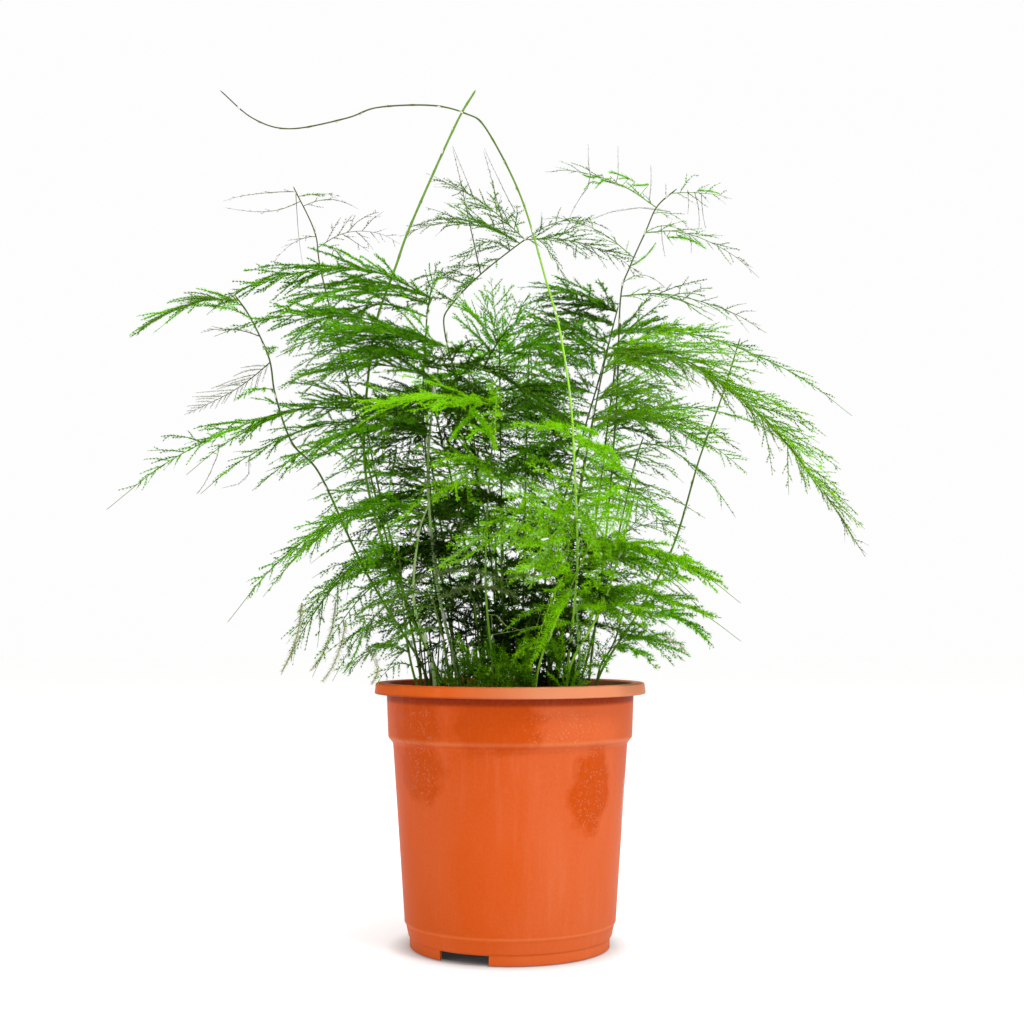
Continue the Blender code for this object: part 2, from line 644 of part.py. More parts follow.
def fuse(shoot, parts, collection, material):
    """Joins a shoot's parts into one solid."""
    body = parts[0]
    collection.objects.link(body)
    if len(parts) > 1:
        extra = bpy.data.collections.new(f"{shoot.name}_parts")
        bpy.context.scene.collection.children.link(extra)
        for part in parts[1:]:
            extra.objects.link(part)
        union = body.modifiers.new("join", "BOOLEAN")
        union.operation = "UNION"
        union.operand_type = "COLLECTION"
        union.collection = extra
        union.solver = "MANIFOLD"
        graph = bpy.context.evaluated_depsgraph_get()
        joined = bpy.data.meshes.new_from_object(body.evaluated_get(graph))
        body.modifiers.remove(union)
        body.data = joined
        for part in parts[1:]:
            bpy.data.objects.remove(part)
        bpy.data.collections.remove(extra)
    body.name = shoot.name
    body.data.name = shoot.name
    body.data.materials.clear()
    body.data.materials.append(material)
    return body


def make_shoots(shoots, placed, collection):
    """Every shoot as one solid."""
    draw = random.Random(SEED)
    for shoot in shoots:
        line = open_end(straightened(shoot.stem))
        rings = stem_rings(line, shoot.stem_radii(len(line)))
        parts = [grow_branch(shoot.name, rings, line[-1])]
        for number, spray in enumerate(shoot.sprays):
            parts += spray_objects(shoot, number, spray, placed, draw)
        shade = draw.uniform(0.8, 1.2)
        colour = (0.09 * shade, 0.26 * shade, 0.03)
        material = make_material(f"{shoot.name}_green", colour, 0.55)
        fuse(shoot, parts, collection, material)


def turned(name, profile, segments, collection, material):
    """A turned solid from its profile of radius and height in millimetres."""
    bm = bmesh.new()
    points = [bm.verts.new((radius * MM, 0, height * MM)) for radius, height in profile]
    for start, end in zip(points, points[1:]):
        bm.edges.new((start, end))
    mesh = bpy.data.meshes.new(name)
    bm.to_mesh(mesh)
    bm.free()
    mesh.materials.append(material)
    body = bpy.data.objects.new(name, mesh)
    collection.objects.link(body)
    screw = body.modifiers.new("turn", "SCREW")
    screw.steps = segments
    screw.render_steps = segments
    screw.use_merge_vertices = True
    screw.merge_threshold = 0.00001
    screw.use_smooth_shade = True
    return body


def pot_profile():
    """The pot's section: inside from the floor up, over the rim, and down the outside."""
    step_height = POT_HEIGHT - STEP_DROP
    collar_low = POT_HEIGHT - COLLAR_DROP
    lip_low = POT_HEIGHT - RIM_DROP
    floor_top = FOOT_HEIGHT + FLOOR_THICKNESS
    under_rim = POT_HEIGHT - RIM_THICKNESS
    inside = [
        (0.0, floor_top), (FOOT_RADIUS - WALL, floor_top), (RIDGE_RADIUS - WALL, RIDGE_HEIGHT),
        (STEP_RADIUS - WALL, step_height - 0.2), (COLLAR_LOW_RADIUS - WALL, collar_low - 0.3),
        (COLLAR_TOP_RADIUS - WALL, POT_HEIGHT - RIM_TOP_INSET),
    ]
    rim = [
        (COLLAR_TOP_RADIUS - WALL + RIM_TOP_INSET, POT_HEIGHT),
        (RIM_RADIUS - 2 * RIM_TOP_INSET, POT_HEIGHT),
        (RIM_RADIUS - RIM_TOP_INSET, POT_HEIGHT - RIM_TOP_INSET),
        (RIM_RADIUS, lip_low), (RIM_RADIUS - LIP_THICKNESS, lip_low),
        (RIM_RADIUS - LIP_THICKNESS - 0.3, under_rim), (COLLAR_TOP_RADIUS, under_rim),
    ]
    outside = [
        (COLLAR_LOW_RADIUS, collar_low), (STEP_RADIUS, step_height),
        (RIDGE_RADIUS + 0.25, RIDGE_HEIGHT + 0.5), (RIDGE_RADIUS, RIDGE_HEIGHT),
        (FOOT_RADIUS + LEDGE, FOOT_HEIGHT), (FOOT_RADIUS, FOOT_HEIGHT), (FOOT_RADIUS, 0.0),
        (FOOT_RADIUS - FOOT_WALL, 0.0), (FOOT_RADIUS - FOOT_WALL, FOOT_HEIGHT),
        (0.0, FOOT_HEIGHT),
    ]
    return inside + rim + outside


def hide_cutter(cutter, cutters):
    """Marks an object as a cutter and moves it to the cutters' collection."""
    for home in list(cutter.users_collection):
        home.objects.unlink(cutter)
    cutters.objects.link(cutter)
    cutter.hide_render = True
    cutter.display_type = "WIRE"


def cut(body, cutter):
    """Cuts the cutter's shape out of the body."""
    tool = body.modifiers.new(cutter.name, "BOOLEAN")
    tool.operation = "DIFFERENCE"
    tool.solver = "EXACT"
    tool.object = cutter


def join_primitives(name, made):
    """Joins primitives that stand apart into one cutter."""
    bpy.ops.object.select_all(action="DESELECT")
    for part in made:
        part.select_set(True)
    bpy.context.view_layer.objects.active = made[0]
    bpy.ops.object.join()
    made[0].name = name
    return made[0]


def make_pot(collection, cutters):
    """The pot, with the notches in its foot and the drain holes in its floor."""
    material = make_material("pot_orange", (0.78, 0.16, 0.035), 0.28)
    pot = turned("pot", pot_profile(), POT_SEGMENTS, collection, material)
    made = []
    for index in range(NOTCH_COUNT):
        angle = math.radians(NOTCH_FIRST_ANGLE + index * 360 / NOTCH_COUNT)
        place = (FOOT_RADIUS * math.cos(angle) * MM, FOOT_RADIUS * math.sin(angle) * MM,
                 (NOTCH_HEIGHT - NOTCH_BLOCK[1] / 2) * MM)
        bpy.ops.mesh.primitive_cube_add(size=1, location=place, rotation=(0, 0, angle))
        notch = bpy.context.object
        notch.scale = (NOTCH_BLOCK[0] * MM, NOTCH_WIDTH * MM, NOTCH_BLOCK[1] * MM)
        bpy.ops.object.transform_apply(location=False, rotation=False, scale=True)
        made.append(notch)
    notches = join_primitives("foot_notches", made)
    hide_cutter(notches, cutters)
    cut(pot, notches)
    made = []
    for index in range(DRAIN_COUNT):
        angle = math.radians(index * 360 / DRAIN_COUNT)
        place = (DRAIN_RING_RADIUS * math.cos(angle) * MM,
                 DRAIN_RING_RADIUS * math.sin(angle) * MM, FOOT_HEIGHT * MM)
        bpy.ops.mesh.primitive_cylinder_add(vertices=DRAIN_SIDES, radius=DRAIN_RADIUS * MM,
                                            depth=CUTTER_DEPTH * MM, location=place)
        made.append(bpy.context.object)
    drains = join_primitives("drain_holes", made)
    hide_cutter(drains, cutters)
    cut(pot, drains)


def inner_radius(height):
    """The radius of the pot's inner wall at a height."""
    step_height = POT_HEIGHT - STEP_DROP
    collar_low = POT_HEIGHT - COLLAR_DROP
    floor_top = FOOT_HEIGHT + FLOOR_THICKNESS
    heights = [floor_top, RIDGE_HEIGHT, step_height - 0.2, collar_low - 0.3, POT_HEIGHT]
    radii = [FOOT_RADIUS - WALL, RIDGE_RADIUS - WALL, STEP_RADIUS - WALL,
             COLLAR_LOW_RADIUS - WALL, COLLAR_TOP_RADIUS - WALL]
    return float(np.interp(height, heights, radii))


def soil_profile():
    """The soil's section: its mounded top from the axis out, then down to the floor."""
    gap = CLEARANCE + 0.2
    floor = FOOT_HEIGHT + FLOOR_THICKNESS + CLEARANCE
    marks = [SOIL_TOP - 1.5, POT_HEIGHT - STEP_DROP - 0.4, floor]
    side = [(inner_radius(mark) - gap, mark) for mark in marks]
    top = [(0.0, SOIL_TOP + SOIL_MOUND), (26.0, SOIL_TOP + SOIL_MOUND * 0.75),
           (inner_radius(SOIL_TOP) - 2.0, SOIL_TOP)]
    return top + side + [(0.0, floor)]


def make_soil(shoots, collection, cutters):
    """The soil, with a plain hole for each stem."""
    material = make_material("soil_brown", (0.035, 0.022, 0.013), 0.95)
    soil = turned("soil", soil_profile(), SOIL_SEGMENTS, collection, material)
    made = []
    for shoot in shoots:
        across, toward = shoot.base
        radius = (STEM_ROOT_RADIUS + HOLE_CLEARANCE) / math.cos(math.pi / HOLE_SIDES)
        place = (across * MM, -toward * MM, SOIL_TOP * MM)
        bpy.ops.mesh.primitive_cylinder_add(vertices=HOLE_SIDES, radius=radius * MM,
                                            depth=2 * HOLE_DEPTH * MM, location=place)
        made.append(bpy.context.object)
    holes = join_primitives("stem_holes", made)
    hide_cutter(holes, cutters)
    cut(soil, holes)


def main():
    """Builds the pot, the soil and the shoots."""
    for old in list(bpy.data.objects):
        bpy.data.objects.remove(old)
    collection = bpy.data.collections.new(COLLECTION_NAME)
    cutters = bpy.data.collections.new(CUTTER_COLLECTION_NAME)
    bpy.context.scene.collection.children.link(collection)
    bpy.context.scene.collection.children.link(cutters)
    shoots, placed = plan_shoots()
    make_pot(collection, cutters)
    make_soil(shoots, collection, cutters)
    make_shoots(shoots, placed, collection)


main()
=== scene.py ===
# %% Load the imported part
import json
import math
import random

import bpy
import numpy as np
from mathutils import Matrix, Vector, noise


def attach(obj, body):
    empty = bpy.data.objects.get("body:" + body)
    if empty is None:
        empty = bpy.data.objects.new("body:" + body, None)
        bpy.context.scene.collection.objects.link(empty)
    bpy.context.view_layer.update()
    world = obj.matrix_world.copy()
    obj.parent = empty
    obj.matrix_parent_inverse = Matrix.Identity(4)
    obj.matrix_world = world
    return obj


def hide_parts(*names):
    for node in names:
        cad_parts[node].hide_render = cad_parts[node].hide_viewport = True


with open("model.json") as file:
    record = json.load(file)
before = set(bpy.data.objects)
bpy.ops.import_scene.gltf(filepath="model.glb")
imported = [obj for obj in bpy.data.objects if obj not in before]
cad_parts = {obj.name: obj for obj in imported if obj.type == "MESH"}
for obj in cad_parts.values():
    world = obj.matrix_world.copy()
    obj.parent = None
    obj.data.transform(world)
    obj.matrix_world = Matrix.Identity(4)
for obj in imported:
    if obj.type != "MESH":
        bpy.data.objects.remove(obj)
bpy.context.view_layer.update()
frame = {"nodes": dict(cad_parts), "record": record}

MM = 0.001


print("packed nodes:", len(frame["nodes"]))

# %% [markdown]
# # A potted asparagus fern
#
# The plant is a bush of thin wiry stems. Each stem carries a few flat sprays, and each
# spray is a little feather: a midrib, side branches, smaller branches on those, and on
# them all tufts of needles a few millimetres long. It stands in a thin orange nursery pot.
#
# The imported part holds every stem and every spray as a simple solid. This lesson grows the
# same plant again at full fineness, from the same table of places, so each shoot lies
# exactly where its solid lies. Then it replaces the solids, one finished piece for each.

# %% [markdown]
# ## The camera
#
# The photograph was taken with a short telephoto view, level with the rim and tilted a
# little up. The pot's rim and foot are true circles, so the shape of their ellipses in the
# picture gives the distance and the height of the eye. The lens then follows from the rim,
# which is 120 mm wide. No shift of the lens is needed.

# %% Camera
EYE_ACROSS, EYE_DISTANCE, EYE_HEIGHT = 0.8, 667.0, 139.7
LEVEL, EYE_TILT = 90.0, 4.33
camera_data = bpy.data.cameras.new("photo_camera")
camera_data.sensor_width = 36.0
camera_data.lens = 52.42
camera_data.clip_start = 0.01
camera_data.clip_end = 50.0
camera = bpy.data.objects.new("photo_camera", camera_data)
bpy.context.scene.collection.objects.link(camera)
camera.location = (EYE_ACROSS * MM, -EYE_DISTANCE * MM, EYE_HEIGHT * MM)
camera.rotation_euler = (math.radians(LEVEL + EYE_TILT), 0.0, 0.0)
bpy.context.scene.camera = camera
print("camera:", tuple(round(v, 4) for v in camera.location), "lens", camera_data.lens)

# %% [markdown]
# ## A helper for shader nodes
#
# A material made in code is a list of nodes and the wires between them. One helper adds a
# node, sets its options, and gives each input either a plain value or a wire from another
# node. So each step of a material below is one line that says what goes in.

# %% Adding nodes
def add_node(tree, kind, inputs=None, **options):
    """Adds a node, with its options set and its inputs filled by set_input."""
    node = tree.nodes.new(kind)
    for option, choice in options.items():
        setattr(node, option, choice)
    for label, value in (inputs or {}).items():
        set_input(tree, node.inputs[label], value)
    return node


def set_input(tree, socket, value):
    """Gives an input a plain value, or wires another node's output to it."""
    if isinstance(value, bpy.types.NodeSocket):
        tree.links.new(value, socket)
    else:
        socket.default_value = value


def stretched(tree, value, low, high, out_low=0.0, out_high=1.0):
    """The value carried from one range to another, and kept inside it."""
    node = add_node(tree, "ShaderNodeMapRange", {
        "Value": value, "From Min": low, "From Max": high,
        "To Min": out_low, "To Max": out_high})
    return node.outputs["Result"]


def reckoned(tree, operation, *values, clamp=False):
    """A sum, product or other piece of arithmetic. Each value is a number or a wire."""
    inputs = dict(enumerate(values))
    node = add_node(tree, "ShaderNodeMath", inputs, operation=operation, use_clamp=clamp)
    return node.outputs[0]


def blended(tree, factor, first, second):
    """Two colours mixed by a factor."""
    node = add_node(tree, "ShaderNodeMix", {"Factor": factor, "A": first, "B": second},
                    data_type="RGBA")
    return node.outputs["Result"]


print("node helpers:", [helper.__name__ for helper in (add_node, stretched, reckoned, blended)])

# %% [markdown]
# ## Light
#
# The studio is almost white all round, with two tall soft boxes beside the camera. They light the
# pot from the sides; the pale upright bands on the pot are painted reflection in its plastic. A
# wide soft light from above shines through the needles and keeps the inside of the bush dark,
# helped by painted shade on the shoots inside. What the camera sees behind the plant is plain
# white, while the light that the surroundings give is weaker. The Standard view keeps the greens
# as strong as they are in the picture.

# %% Soft studio light
SEEN_WHITE, LIT_WHITE = (0.985, 0.985, 0.985, 1.0), (1.0, 1.0, 0.97, 1.0)
LIT_STRENGTH = 0.42
# Each box has a name, a place, the height it faces on the pot's axis, a width, a height and
# a power. All but the power, in watts, are in metres.
SOFT_BOXES = [
    ("left_soft_box", (-0.95, -0.52, 0.40), 0.12, 0.14, 0.9, 2.4),
    ("right_soft_box", (0.95, -0.45, 0.42), 0.12, 0.45, 0.9, 1.7),
    ("overhead_soft_box", (0.05, 0.05, 1.25), 0.20, 1.0, 0.8, 7.5),
    ("key_soft_box", (0.42, -0.60, 1.25), 0.25, 0.28, 0.28, 9.5),
    ("front_soft_box", (0.40, -1.2, 0.75), 0.12, 0.7, 0.6, 3.4),
]
bpy.context.scene.view_settings.view_transform = "Standard"
world = bpy.data.worlds.new("white_studio")
bpy.context.scene.world = world
world.use_nodes = True
sky = world.node_tree
sky.nodes.clear()
seen_white = add_node(sky, "ShaderNodeBackground", {"Color": SEEN_WHITE})
lit_white = add_node(sky, "ShaderNodeBackground", {"Color": LIT_WHITE, "Strength": LIT_STRENGTH})
which_ray = add_node(sky, "ShaderNodeLightPath")
chosen = add_node(sky, "ShaderNodeMixShader", {
    "Fac": which_ray.outputs["Is Camera Ray"],
    1: lit_white.outputs["Background"], 2: seen_white.outputs["Background"]})
add_node(sky, "ShaderNodeOutputWorld", {"Surface": chosen.outputs["Shader"]})


def add_soft_box(name, place, faces_height, width, height, power):
    """A rectangular soft light that faces a point on the pot's axis."""
    data = bpy.data.lights.new(name, "AREA")
    data.shape = "RECTANGLE"
    data.size, data.size_y = width, height
    data.energy = power
    box = bpy.data.objects.new(name, data)
    bpy.context.scene.collection.objects.link(box)
    box.location = place
    way = Vector((0, 0, faces_height)) - Vector(place)
    box.rotation_euler = way.to_track_quat("-Z", "Y").to_euler()


for soft_box in SOFT_BOXES:
    add_soft_box(*soft_box)
print("lights:", [lamp.name for lamp in bpy.data.lights])

# %% [markdown]
# ## The floor
#
# The pot stands on a seamless white sweep. A large plane does for that. Close to the pot it
# is plain white paint, so the soft shadow shows by the foot and in the notch. Further out
# it glows more and more, as an over-lit sweep does, until it is as white as the background
# and its far edge can't be seen. The glow follows the distance from the pot.

# %% Floor
FLOOR_REACH = 6.0
FLOOR_DROP = 0.0003
GLOW_REACH = 2.0
# How far out, as a share of the glow's reach, and how bright the glow is there.
GLOW_STEPS = [(0.0215, 0.02), (0.0255, 0.60), (0.085, 0.80), (0.30, 0.80), (0.85, 0.738)]
floor_mesh = bpy.data.meshes.new("pale_floor")
floor_corners = [(x * FLOOR_REACH, y * FLOOR_REACH, -FLOOR_DROP)
                 for x, y in ((-1, -1), (1, -1), (1, 1), (-1, 1))]
floor_mesh.from_pydata(floor_corners, [], [(0, 1, 2, 3)])
pale_floor = bpy.data.objects.new("pale_floor", floor_mesh)
bpy.context.scene.collection.objects.link(pale_floor)
floor_paint = bpy.data.materials.new("pale_floor_paint")
floor_paint.use_nodes = True
floor_tree = floor_paint.node_tree
floor_place = add_node(floor_tree, "ShaderNodeTexCoord").outputs["Object"]
from_pot = add_node(floor_tree, "ShaderNodeVectorMath", {0: floor_place}, operation="LENGTH")
glow = add_node(floor_tree, "ShaderNodeValToRGB", {
    "Fac": stretched(floor_tree, from_pot.outputs["Value"], 0.0, GLOW_REACH)})


def fill_ramp(node, steps):
    """Gives a colour ramp its steps, each a place and a colour."""
    elements = node.color_ramp.elements
    for element, (place, colour) in zip(elements, (steps[0], steps[-1])):
        element.position, element.color = place, (*colour, 1.0)
    for place, colour in steps[1:-1]:
        elements.new(place).color = (*colour, 1.0)


fill_ramp(glow, [(place, (level, level, level)) for place, level in GLOW_STEPS])
for label, value in (("Base Color", (0.55, 0.55, 0.55, 1.0)), ("Roughness", 0.7),
                     ("Specular IOR Level", 0.1), ("Emission Strength", 1.0),
                     ("Emission Color", glow.outputs["Color"])):
    set_input(floor_tree, floor_tree.nodes["Principled BSDF"].inputs[label], value)
floor_mesh.materials.append(floor_paint)
print("floor glow at its edge:", GLOW_STEPS[-1][1])

# %% [markdown]
# ## Where every shoot grows
#
# A real bush has no two shoots alike, so a single rule can't draw this one. What the
# photograph shows of each shoot is a short list in millimetres, as seen in the upright plane
# through the pot's axis. It starts with its foot: across, and how far it stands out towards
# the viewer. Then come the points that its stem passes: across, up and outward. Each other
# line is a spray: across and up of its root, across, up and outward of its tip, then its
# width, its arch and its tilt. The solids were made from the same table. The shoots behind
# are not in the photograph, so they follow a rule with a direction round the pot.

# %% The tables of shoots
def read_table(text):
    """The rows of each shoot in a table: a kind, plain if none is named, and the numbers."""
    rows = {}
    for line in text.strip().splitlines():
        words = line.split()
        if len(words) == 1:
            name = words[0]
            rows[name] = []
            continue
        kind = words.pop() if words[-1].isalpha() else "plain"
        rows[name].append((kind, [float(word) for word in words]))
    return rows


PICTURE_SHOOTS = read_table("""
climber_curled
  24 22  foot
  26 124 24  30 165 34  29 210 36  27 243 34  22 275 28  17 293 24  5 334 12  stem
  -11 366 0  -20 373 -6  -36 377 -14  -61 376 -26  -75 371 -30  -101 366 -34  -118 371 -32  stem
  -133 384 -28  stem
climber_straight
  -30 12  foot
  -34 122 12  -50 156 20  -63 197 24  -66 223 22  -65 242 18  -61 275 10  -52 302 2  stem
  -45 322 -6  -25 368 -26  -16 384 -34  stem
climber_right
  36 -4  foot
  42 122 -4  57 145 -6  73 175 -10  85 214 -16  95 241 -22  104 269 -28  stem
shoot_left_tall
  -34 2  foot
  -40 123 2  -58 152 6  -69 172 9  -86 208 14  -98 221 17  -106 243 21  -109 260 24  stem
  -118 279 27  -125 289 28  stem
  -125 289  -171 271 44  24 5 20
  -120 284  -145 284 8  10 3 0
  -109 258  -147 235 30  38 -3 55
  -106 246  -124 241 40  12 2 0
shoot_left_arch
  -28 -8  foot
  -34 123 -10  -50 160 -14  -65 215 -22  -74 252 -28  -86 300 -36  -89 318 -40  -99 339 -46  stem
  -99 339  -131 333 -60  6 1 0
  -96 333  -130 330 -34  6 -4 0
  -97 335  -78 335 -62  5 1 0
  -88 312  -50 313 -58  28 7 50
  -98 337  -94 303 -34  0 -7 0
shoot_left_fan
  -20 -14  foot
  -24 124 -13  -32 170 -6  -39 230 0  -38 275 0  -36 291 2  stem
  -36 291  -137 281 26  54 16 22
  -38 280  -33 305 6  14 1 0
  -39 268  -134 272 46  46 10 16
shoot_left_tier
  -22 8  foot
  -25 124 8  -33 160 12  -37 210 15  -33 252 15  -28 268 13  stem
  -28 268  -104 264 50  44 9 18
  -33 250  -105 248 34  42 7 14
shoot_left_long
  -38 9  foot
  -41 123 9  -49 160 8  -60 205 7  -67 240 7  stem
  -67 240  -181 194 62  50 12 24
  -65 232  -139 200 20  38 8 30
  -63 220  -104 207 40  22 3 10
  -58 199  -91 196 4  22 2 0
shoot_left_low
  -32 20  foot
  -35 124 21  -43 150 28  -41 180 34  -36 195 38  stem
  -36 195  -126 143 62  46 16 24
  -41 176  -76 158 70  30 5 20
shoot_left_droop
  -38 19  foot
  -44 122 22  -47 140 26  -49 165 30  -51 176 32  stem
  -51 176  -102 119 46  36 13 30
  -49 162  -88 118 66  24 10 30
shoot_left_pale
  -24 32  foot
  -28 122 36  -31 138 42  -36 156 50  stem
  -36 156  -79 116 78  32 11 20
  -31 138  -76 120 62  16 3 10
shoot_centre_lime
  -8 30  foot
  -8 122 31  -11 160 38  -9 210 43  -5 241 46  stem
  -5 241  -68 238 98  48 4 8
  -6 238  -7 218 82  5 12 0
shoot_centre_dark
  -12 14  foot
  -13 124 14  -21 180 17  -35 240 21  -41 259 25  stem
  -41 259  30 229 66  46 9 10
  -34 236  -66 228 66  32 5 10
shoot_right_lime
  24 32  foot
  27 122 33  42 150 38  54 190 43  57 206 46  stem
  57 206  -3 229 88  30 9 20
  54 193  -4 178 96  58 10 22
shoot_front
  10 36  foot
  13 122 38  22 145 45  34 172 52  41 187 55  stem
  41 187  6 160 118  46 10 20
  34 171  10 126 92  6 8 0
  39 183  -36 165 84  26 8 20
shoot_right_bright
  28 14  foot
  28 124 15  27 145 21  30 165 28  33 176 32  stem
  33 176  103 151 62  48 8 22
  28 154  103 134 50  34 9 24
shoot_right_low
  36 22  foot
  40 121 22  46 131 23  51 147 26  stem
  51 147  91 131 42  30 6 20
  45 129  66 120 48  16 3 10
shoot_right_arch
  16 2  foot
  18 124 2  26 170 5  36 225 10  42 255 15  45 268 18  stem
  45 268  159 173 20  72 24 30
  36 233  104 219 32  42 8 16
shoot_right_high
  26 -12  foot
  28 124 -13  36 170 -15  44 230 -12  50 276 -10  stem
  50 276  154 236 -34  46 11 22
  44 232  95 217 4  38 6 14
shoot_right_tall
  34 6  foot
  36 124 4  43 180 0  48 240 4  50 287 12  54 301 15  62 319 19  67 330 22  stem
  76 338 25  stem
  67 330  16 347 40  26 5 30
  76 338  101 334 44  20 1 60
  62 319  113 298 6  22 7 20
  50 289  116 273 44  36 6 16
  57 307  15 325 -8  20 5 20
shoot_upper_twig
  -4 -12  foot
  -5 124 -12  -10 180 -14  -22 240 -18  -30 274 -20  -27 284 -21  -14 298 -24  2 311 -26  stem
  9 316 -27  stem
  9 316  -37 344 -48  34 4 30
  4 312  -50 318 -4  30 7 24
  9 316  60 299 -44  36 6 26
  -1 309  -31 291 6  20 11 20
shoot_dark_top
  8 -22  foot
  10 124 -22  20 180 -19  40 250 -15  49 284 -12  stem
  49 284  11 288 16  42 5 10
  45 268  78 268 -64  38 5 14
shoot_centre_tuft
  -2 -26  foot
  -2 124 -26  -4 200 -24  -5 268 -20  stem
  -5 268  -9 298 -28  26 0 20
  -5 258  29 262 14  38 6 10
  -4 246  -30 262 -84  38 8 14
shoot_right_mid
  30 -24  foot
  34 124 -24  46 170 -21  56 212 -16  60 224 -14  stem
  60 224  101 189 4  30 8 24
  48 178  78 183 2  28 4 14
""")
# Direction, reach, height, length of a spray, and how far it drops.
BACK_SHOOTS = [
    ("shoot_back_a", 28, 44, 238, 84, 22),
    ("shoot_back_b", 52, 58, 214, 92, 44),
    ("shoot_back_c", 76, 38, 276, 84, 26),
    ("shoot_back_d", 98, 56, 196, 66, 40),
    ("shoot_back_e", 120, 40, 262, 90, 24),
    ("shoot_back_f", 144, 58, 206, 88, 46),
    ("shoot_back_g", 166, 42, 236, 80, 26),
    ("shoot_inner_a", 205, 20, 176, 56, 12),
    ("shoot_inner_b", 255, 18, 196, 62, 10),
    ("shoot_inner_c", 300, 22, 166, 54, 14),
    ("shoot_inner_d", 340, 30, 202, 60, 16),
    ("shoot_inner_e", 60, 26, 158, 56, 18),
]

print("shoots in the tables:", len(PICTURE_SHOOTS) + len(BACK_SHOOTS))

# %% [markdown]
# ## From the picture to the real place
#
# A point that stands out towards the camera looks larger and further from the middle than
# one in the axis plane. So each seen point is carried along its own line of sight to the
# distance that it really has, and a real point can be carried back the same way.

# %% Seen places
def seen(across, up, toward):
    """The real place of a point that is seen at across and up in the axis plane."""
    nearer = 1.0 - toward / EYE_DISTANCE
    height = EYE_HEIGHT + (up - EYE_HEIGHT) * nearer
    return np.array((across * nearer, -toward, height))


def seen_at(points):
    """Where real points are seen, across and up in the axis plane."""
    nearer = 1.0 + points[:, 1] / EYE_DISTANCE
    return points[:, 0] / nearer, EYE_HEIGHT + (points[:, 2] - EYE_HEIGHT) / nearer


def nearest_index(points, across, up):
    """The point that is seen closest to across and up."""
    seen_across, seen_up = seen_at(points)
    return int(np.argmin((seen_across - across) ** 2 + (seen_up - up) ** 2))


print("seen 100 across and 200 up, but 60 nearer:", seen(100, 200, 60).round(1))

# %% [markdown]
# ## Smooth curves
#
# A stem is a smooth curve through its few points. The curve is then cut into even steps,
# which every later piece of arithmetic relies on.

# %% Curves
SAMPLE = 3.0
CURVE_STEPS = 12
TINY = 1e-9


def unit(vector):
    """The vector at length one."""
    return vector / max(float(np.linalg.norm(vector)), TINY)


def smooth_path(knots):
    """Points at even spacing on a smooth curve through the knots."""
    knots = [np.asarray(knot, float) for knot in knots]
    padded = [2 * knots[0] - knots[1]] + knots + [2 * knots[-1] - knots[-2]]
    dense = []
    for before, start, end, after in zip(padded, padded[1:], padded[2:], padded[3:]):
        for share in np.linspace(0, 1, CURVE_STEPS, endpoint=False):
            dense.append(0.5 * (2 * start + (end - before) * share
                                + (2 * before - 5 * start + 4 * end - after) * share ** 2
                                + (3 * start - before - 3 * end + after) * share ** 3))
    dense = np.array(dense + [knots[-1]])
    steps = np.linalg.norm(np.diff(dense, axis=0), axis=1)
    run = np.concatenate(([0.0], np.cumsum(steps)))
    count = max(int(round(run[-1] / SAMPLE)), 3)
    marks = np.linspace(0, run[-1], count + 1)
    return np.stack([np.interp(marks, run, dense[:, axis]) for axis in range(3)], axis=1)


print("steps in a bend 60 wide and 20 high:",
      len(smooth_path([(0, 0, 0), (30, 0, 20), (60, 0, 0)])) - 1)

# %% [markdown]
# ## Keeping the stems apart
#
# Real stems push each other aside. Here each new run of points is tested against all the
# runs already placed, and where two come too close the new one is bent away in a soft
# bulge. The distance between two short straight pieces has an exact formula, so no
# collision tool is needed.

# %% Distances between runs
def segment_gaps(starts, ends, others_start, others_end):
    """Closest distance and closest points between each segment and each other segment."""
    own = (ends - starts)[:, None, :]
    other = (others_end - others_start)[None, :, :]
    apart = starts[:, None, :] - others_start[None, :, :]
    own_square = np.maximum((own * own).sum(-1), TINY)
    other_square = np.maximum((other * other).sum(-1), TINY)
    other_apart = (other * apart).sum(-1)
    own_apart = (own * apart).sum(-1)
    both = (own * other).sum(-1)
    spread = own_square * other_square - both * both
    share = np.where(spread > TINY, (both * other_apart - own_apart * other_square)
                     / np.maximum(spread, TINY), 0.0)
    share = np.clip(share, 0, 1)
    other_share = np.clip((both * share + other_apart) / other_square, 0, 1)
    share = np.clip((both * other_share - own_apart) / own_square, 0, 1)
    near = starts[:, None, :] + own * share[..., None]
    other_near = others_start[None, :, :] + other * other_share[..., None]
    return np.linalg.norm(near - other_near, axis=-1), near, other_near


class Placed:
    """The segments that are already placed, with their radius and the shoot they are on."""

    def __init__(self):
        self.starts = np.zeros((0, 3))
        self.ends = np.zeros((0, 3))
        self.radii = np.zeros(0)
        self.owners = np.zeros(0, int)

    def add(self, points, radii, owner):
        """Adds a run of points as segments."""
        widest = np.maximum(radii[:-1], radii[1:])
        self.starts = np.vstack((self.starts, points[:-1]))
        self.ends = np.vstack((self.ends, points[1:]))
        self.radii = np.concatenate((self.radii, widest))
        self.owners = np.concatenate((self.owners, np.full(len(points) - 1, owner)))

    def others(self, owner):
        """What belongs to the other shoots."""
        mask = self.owners != owner
        return self.starts[mask], self.ends[mask], self.radii[mask]


crossing = segment_gaps(np.array([[-5.0, 0, 0]]), np.array([[5.0, 0, 0]]),
                        np.array([[0, -5.0, 2]]), np.array([[0, 5.0, 2]]))
print("gap between two crossing pieces 2 mm apart:", crossing[0].ravel())

# %% Bending clear
KEEP_CLEAR = 1.4
BEND_REACH = 22.0
BEND_TRIES = 60
BEND_EASE = 6.0
SMALLEST_PUSH, SMALLEST_SHARE = 0.05, 0.05
OVERSHOOT = 0.15


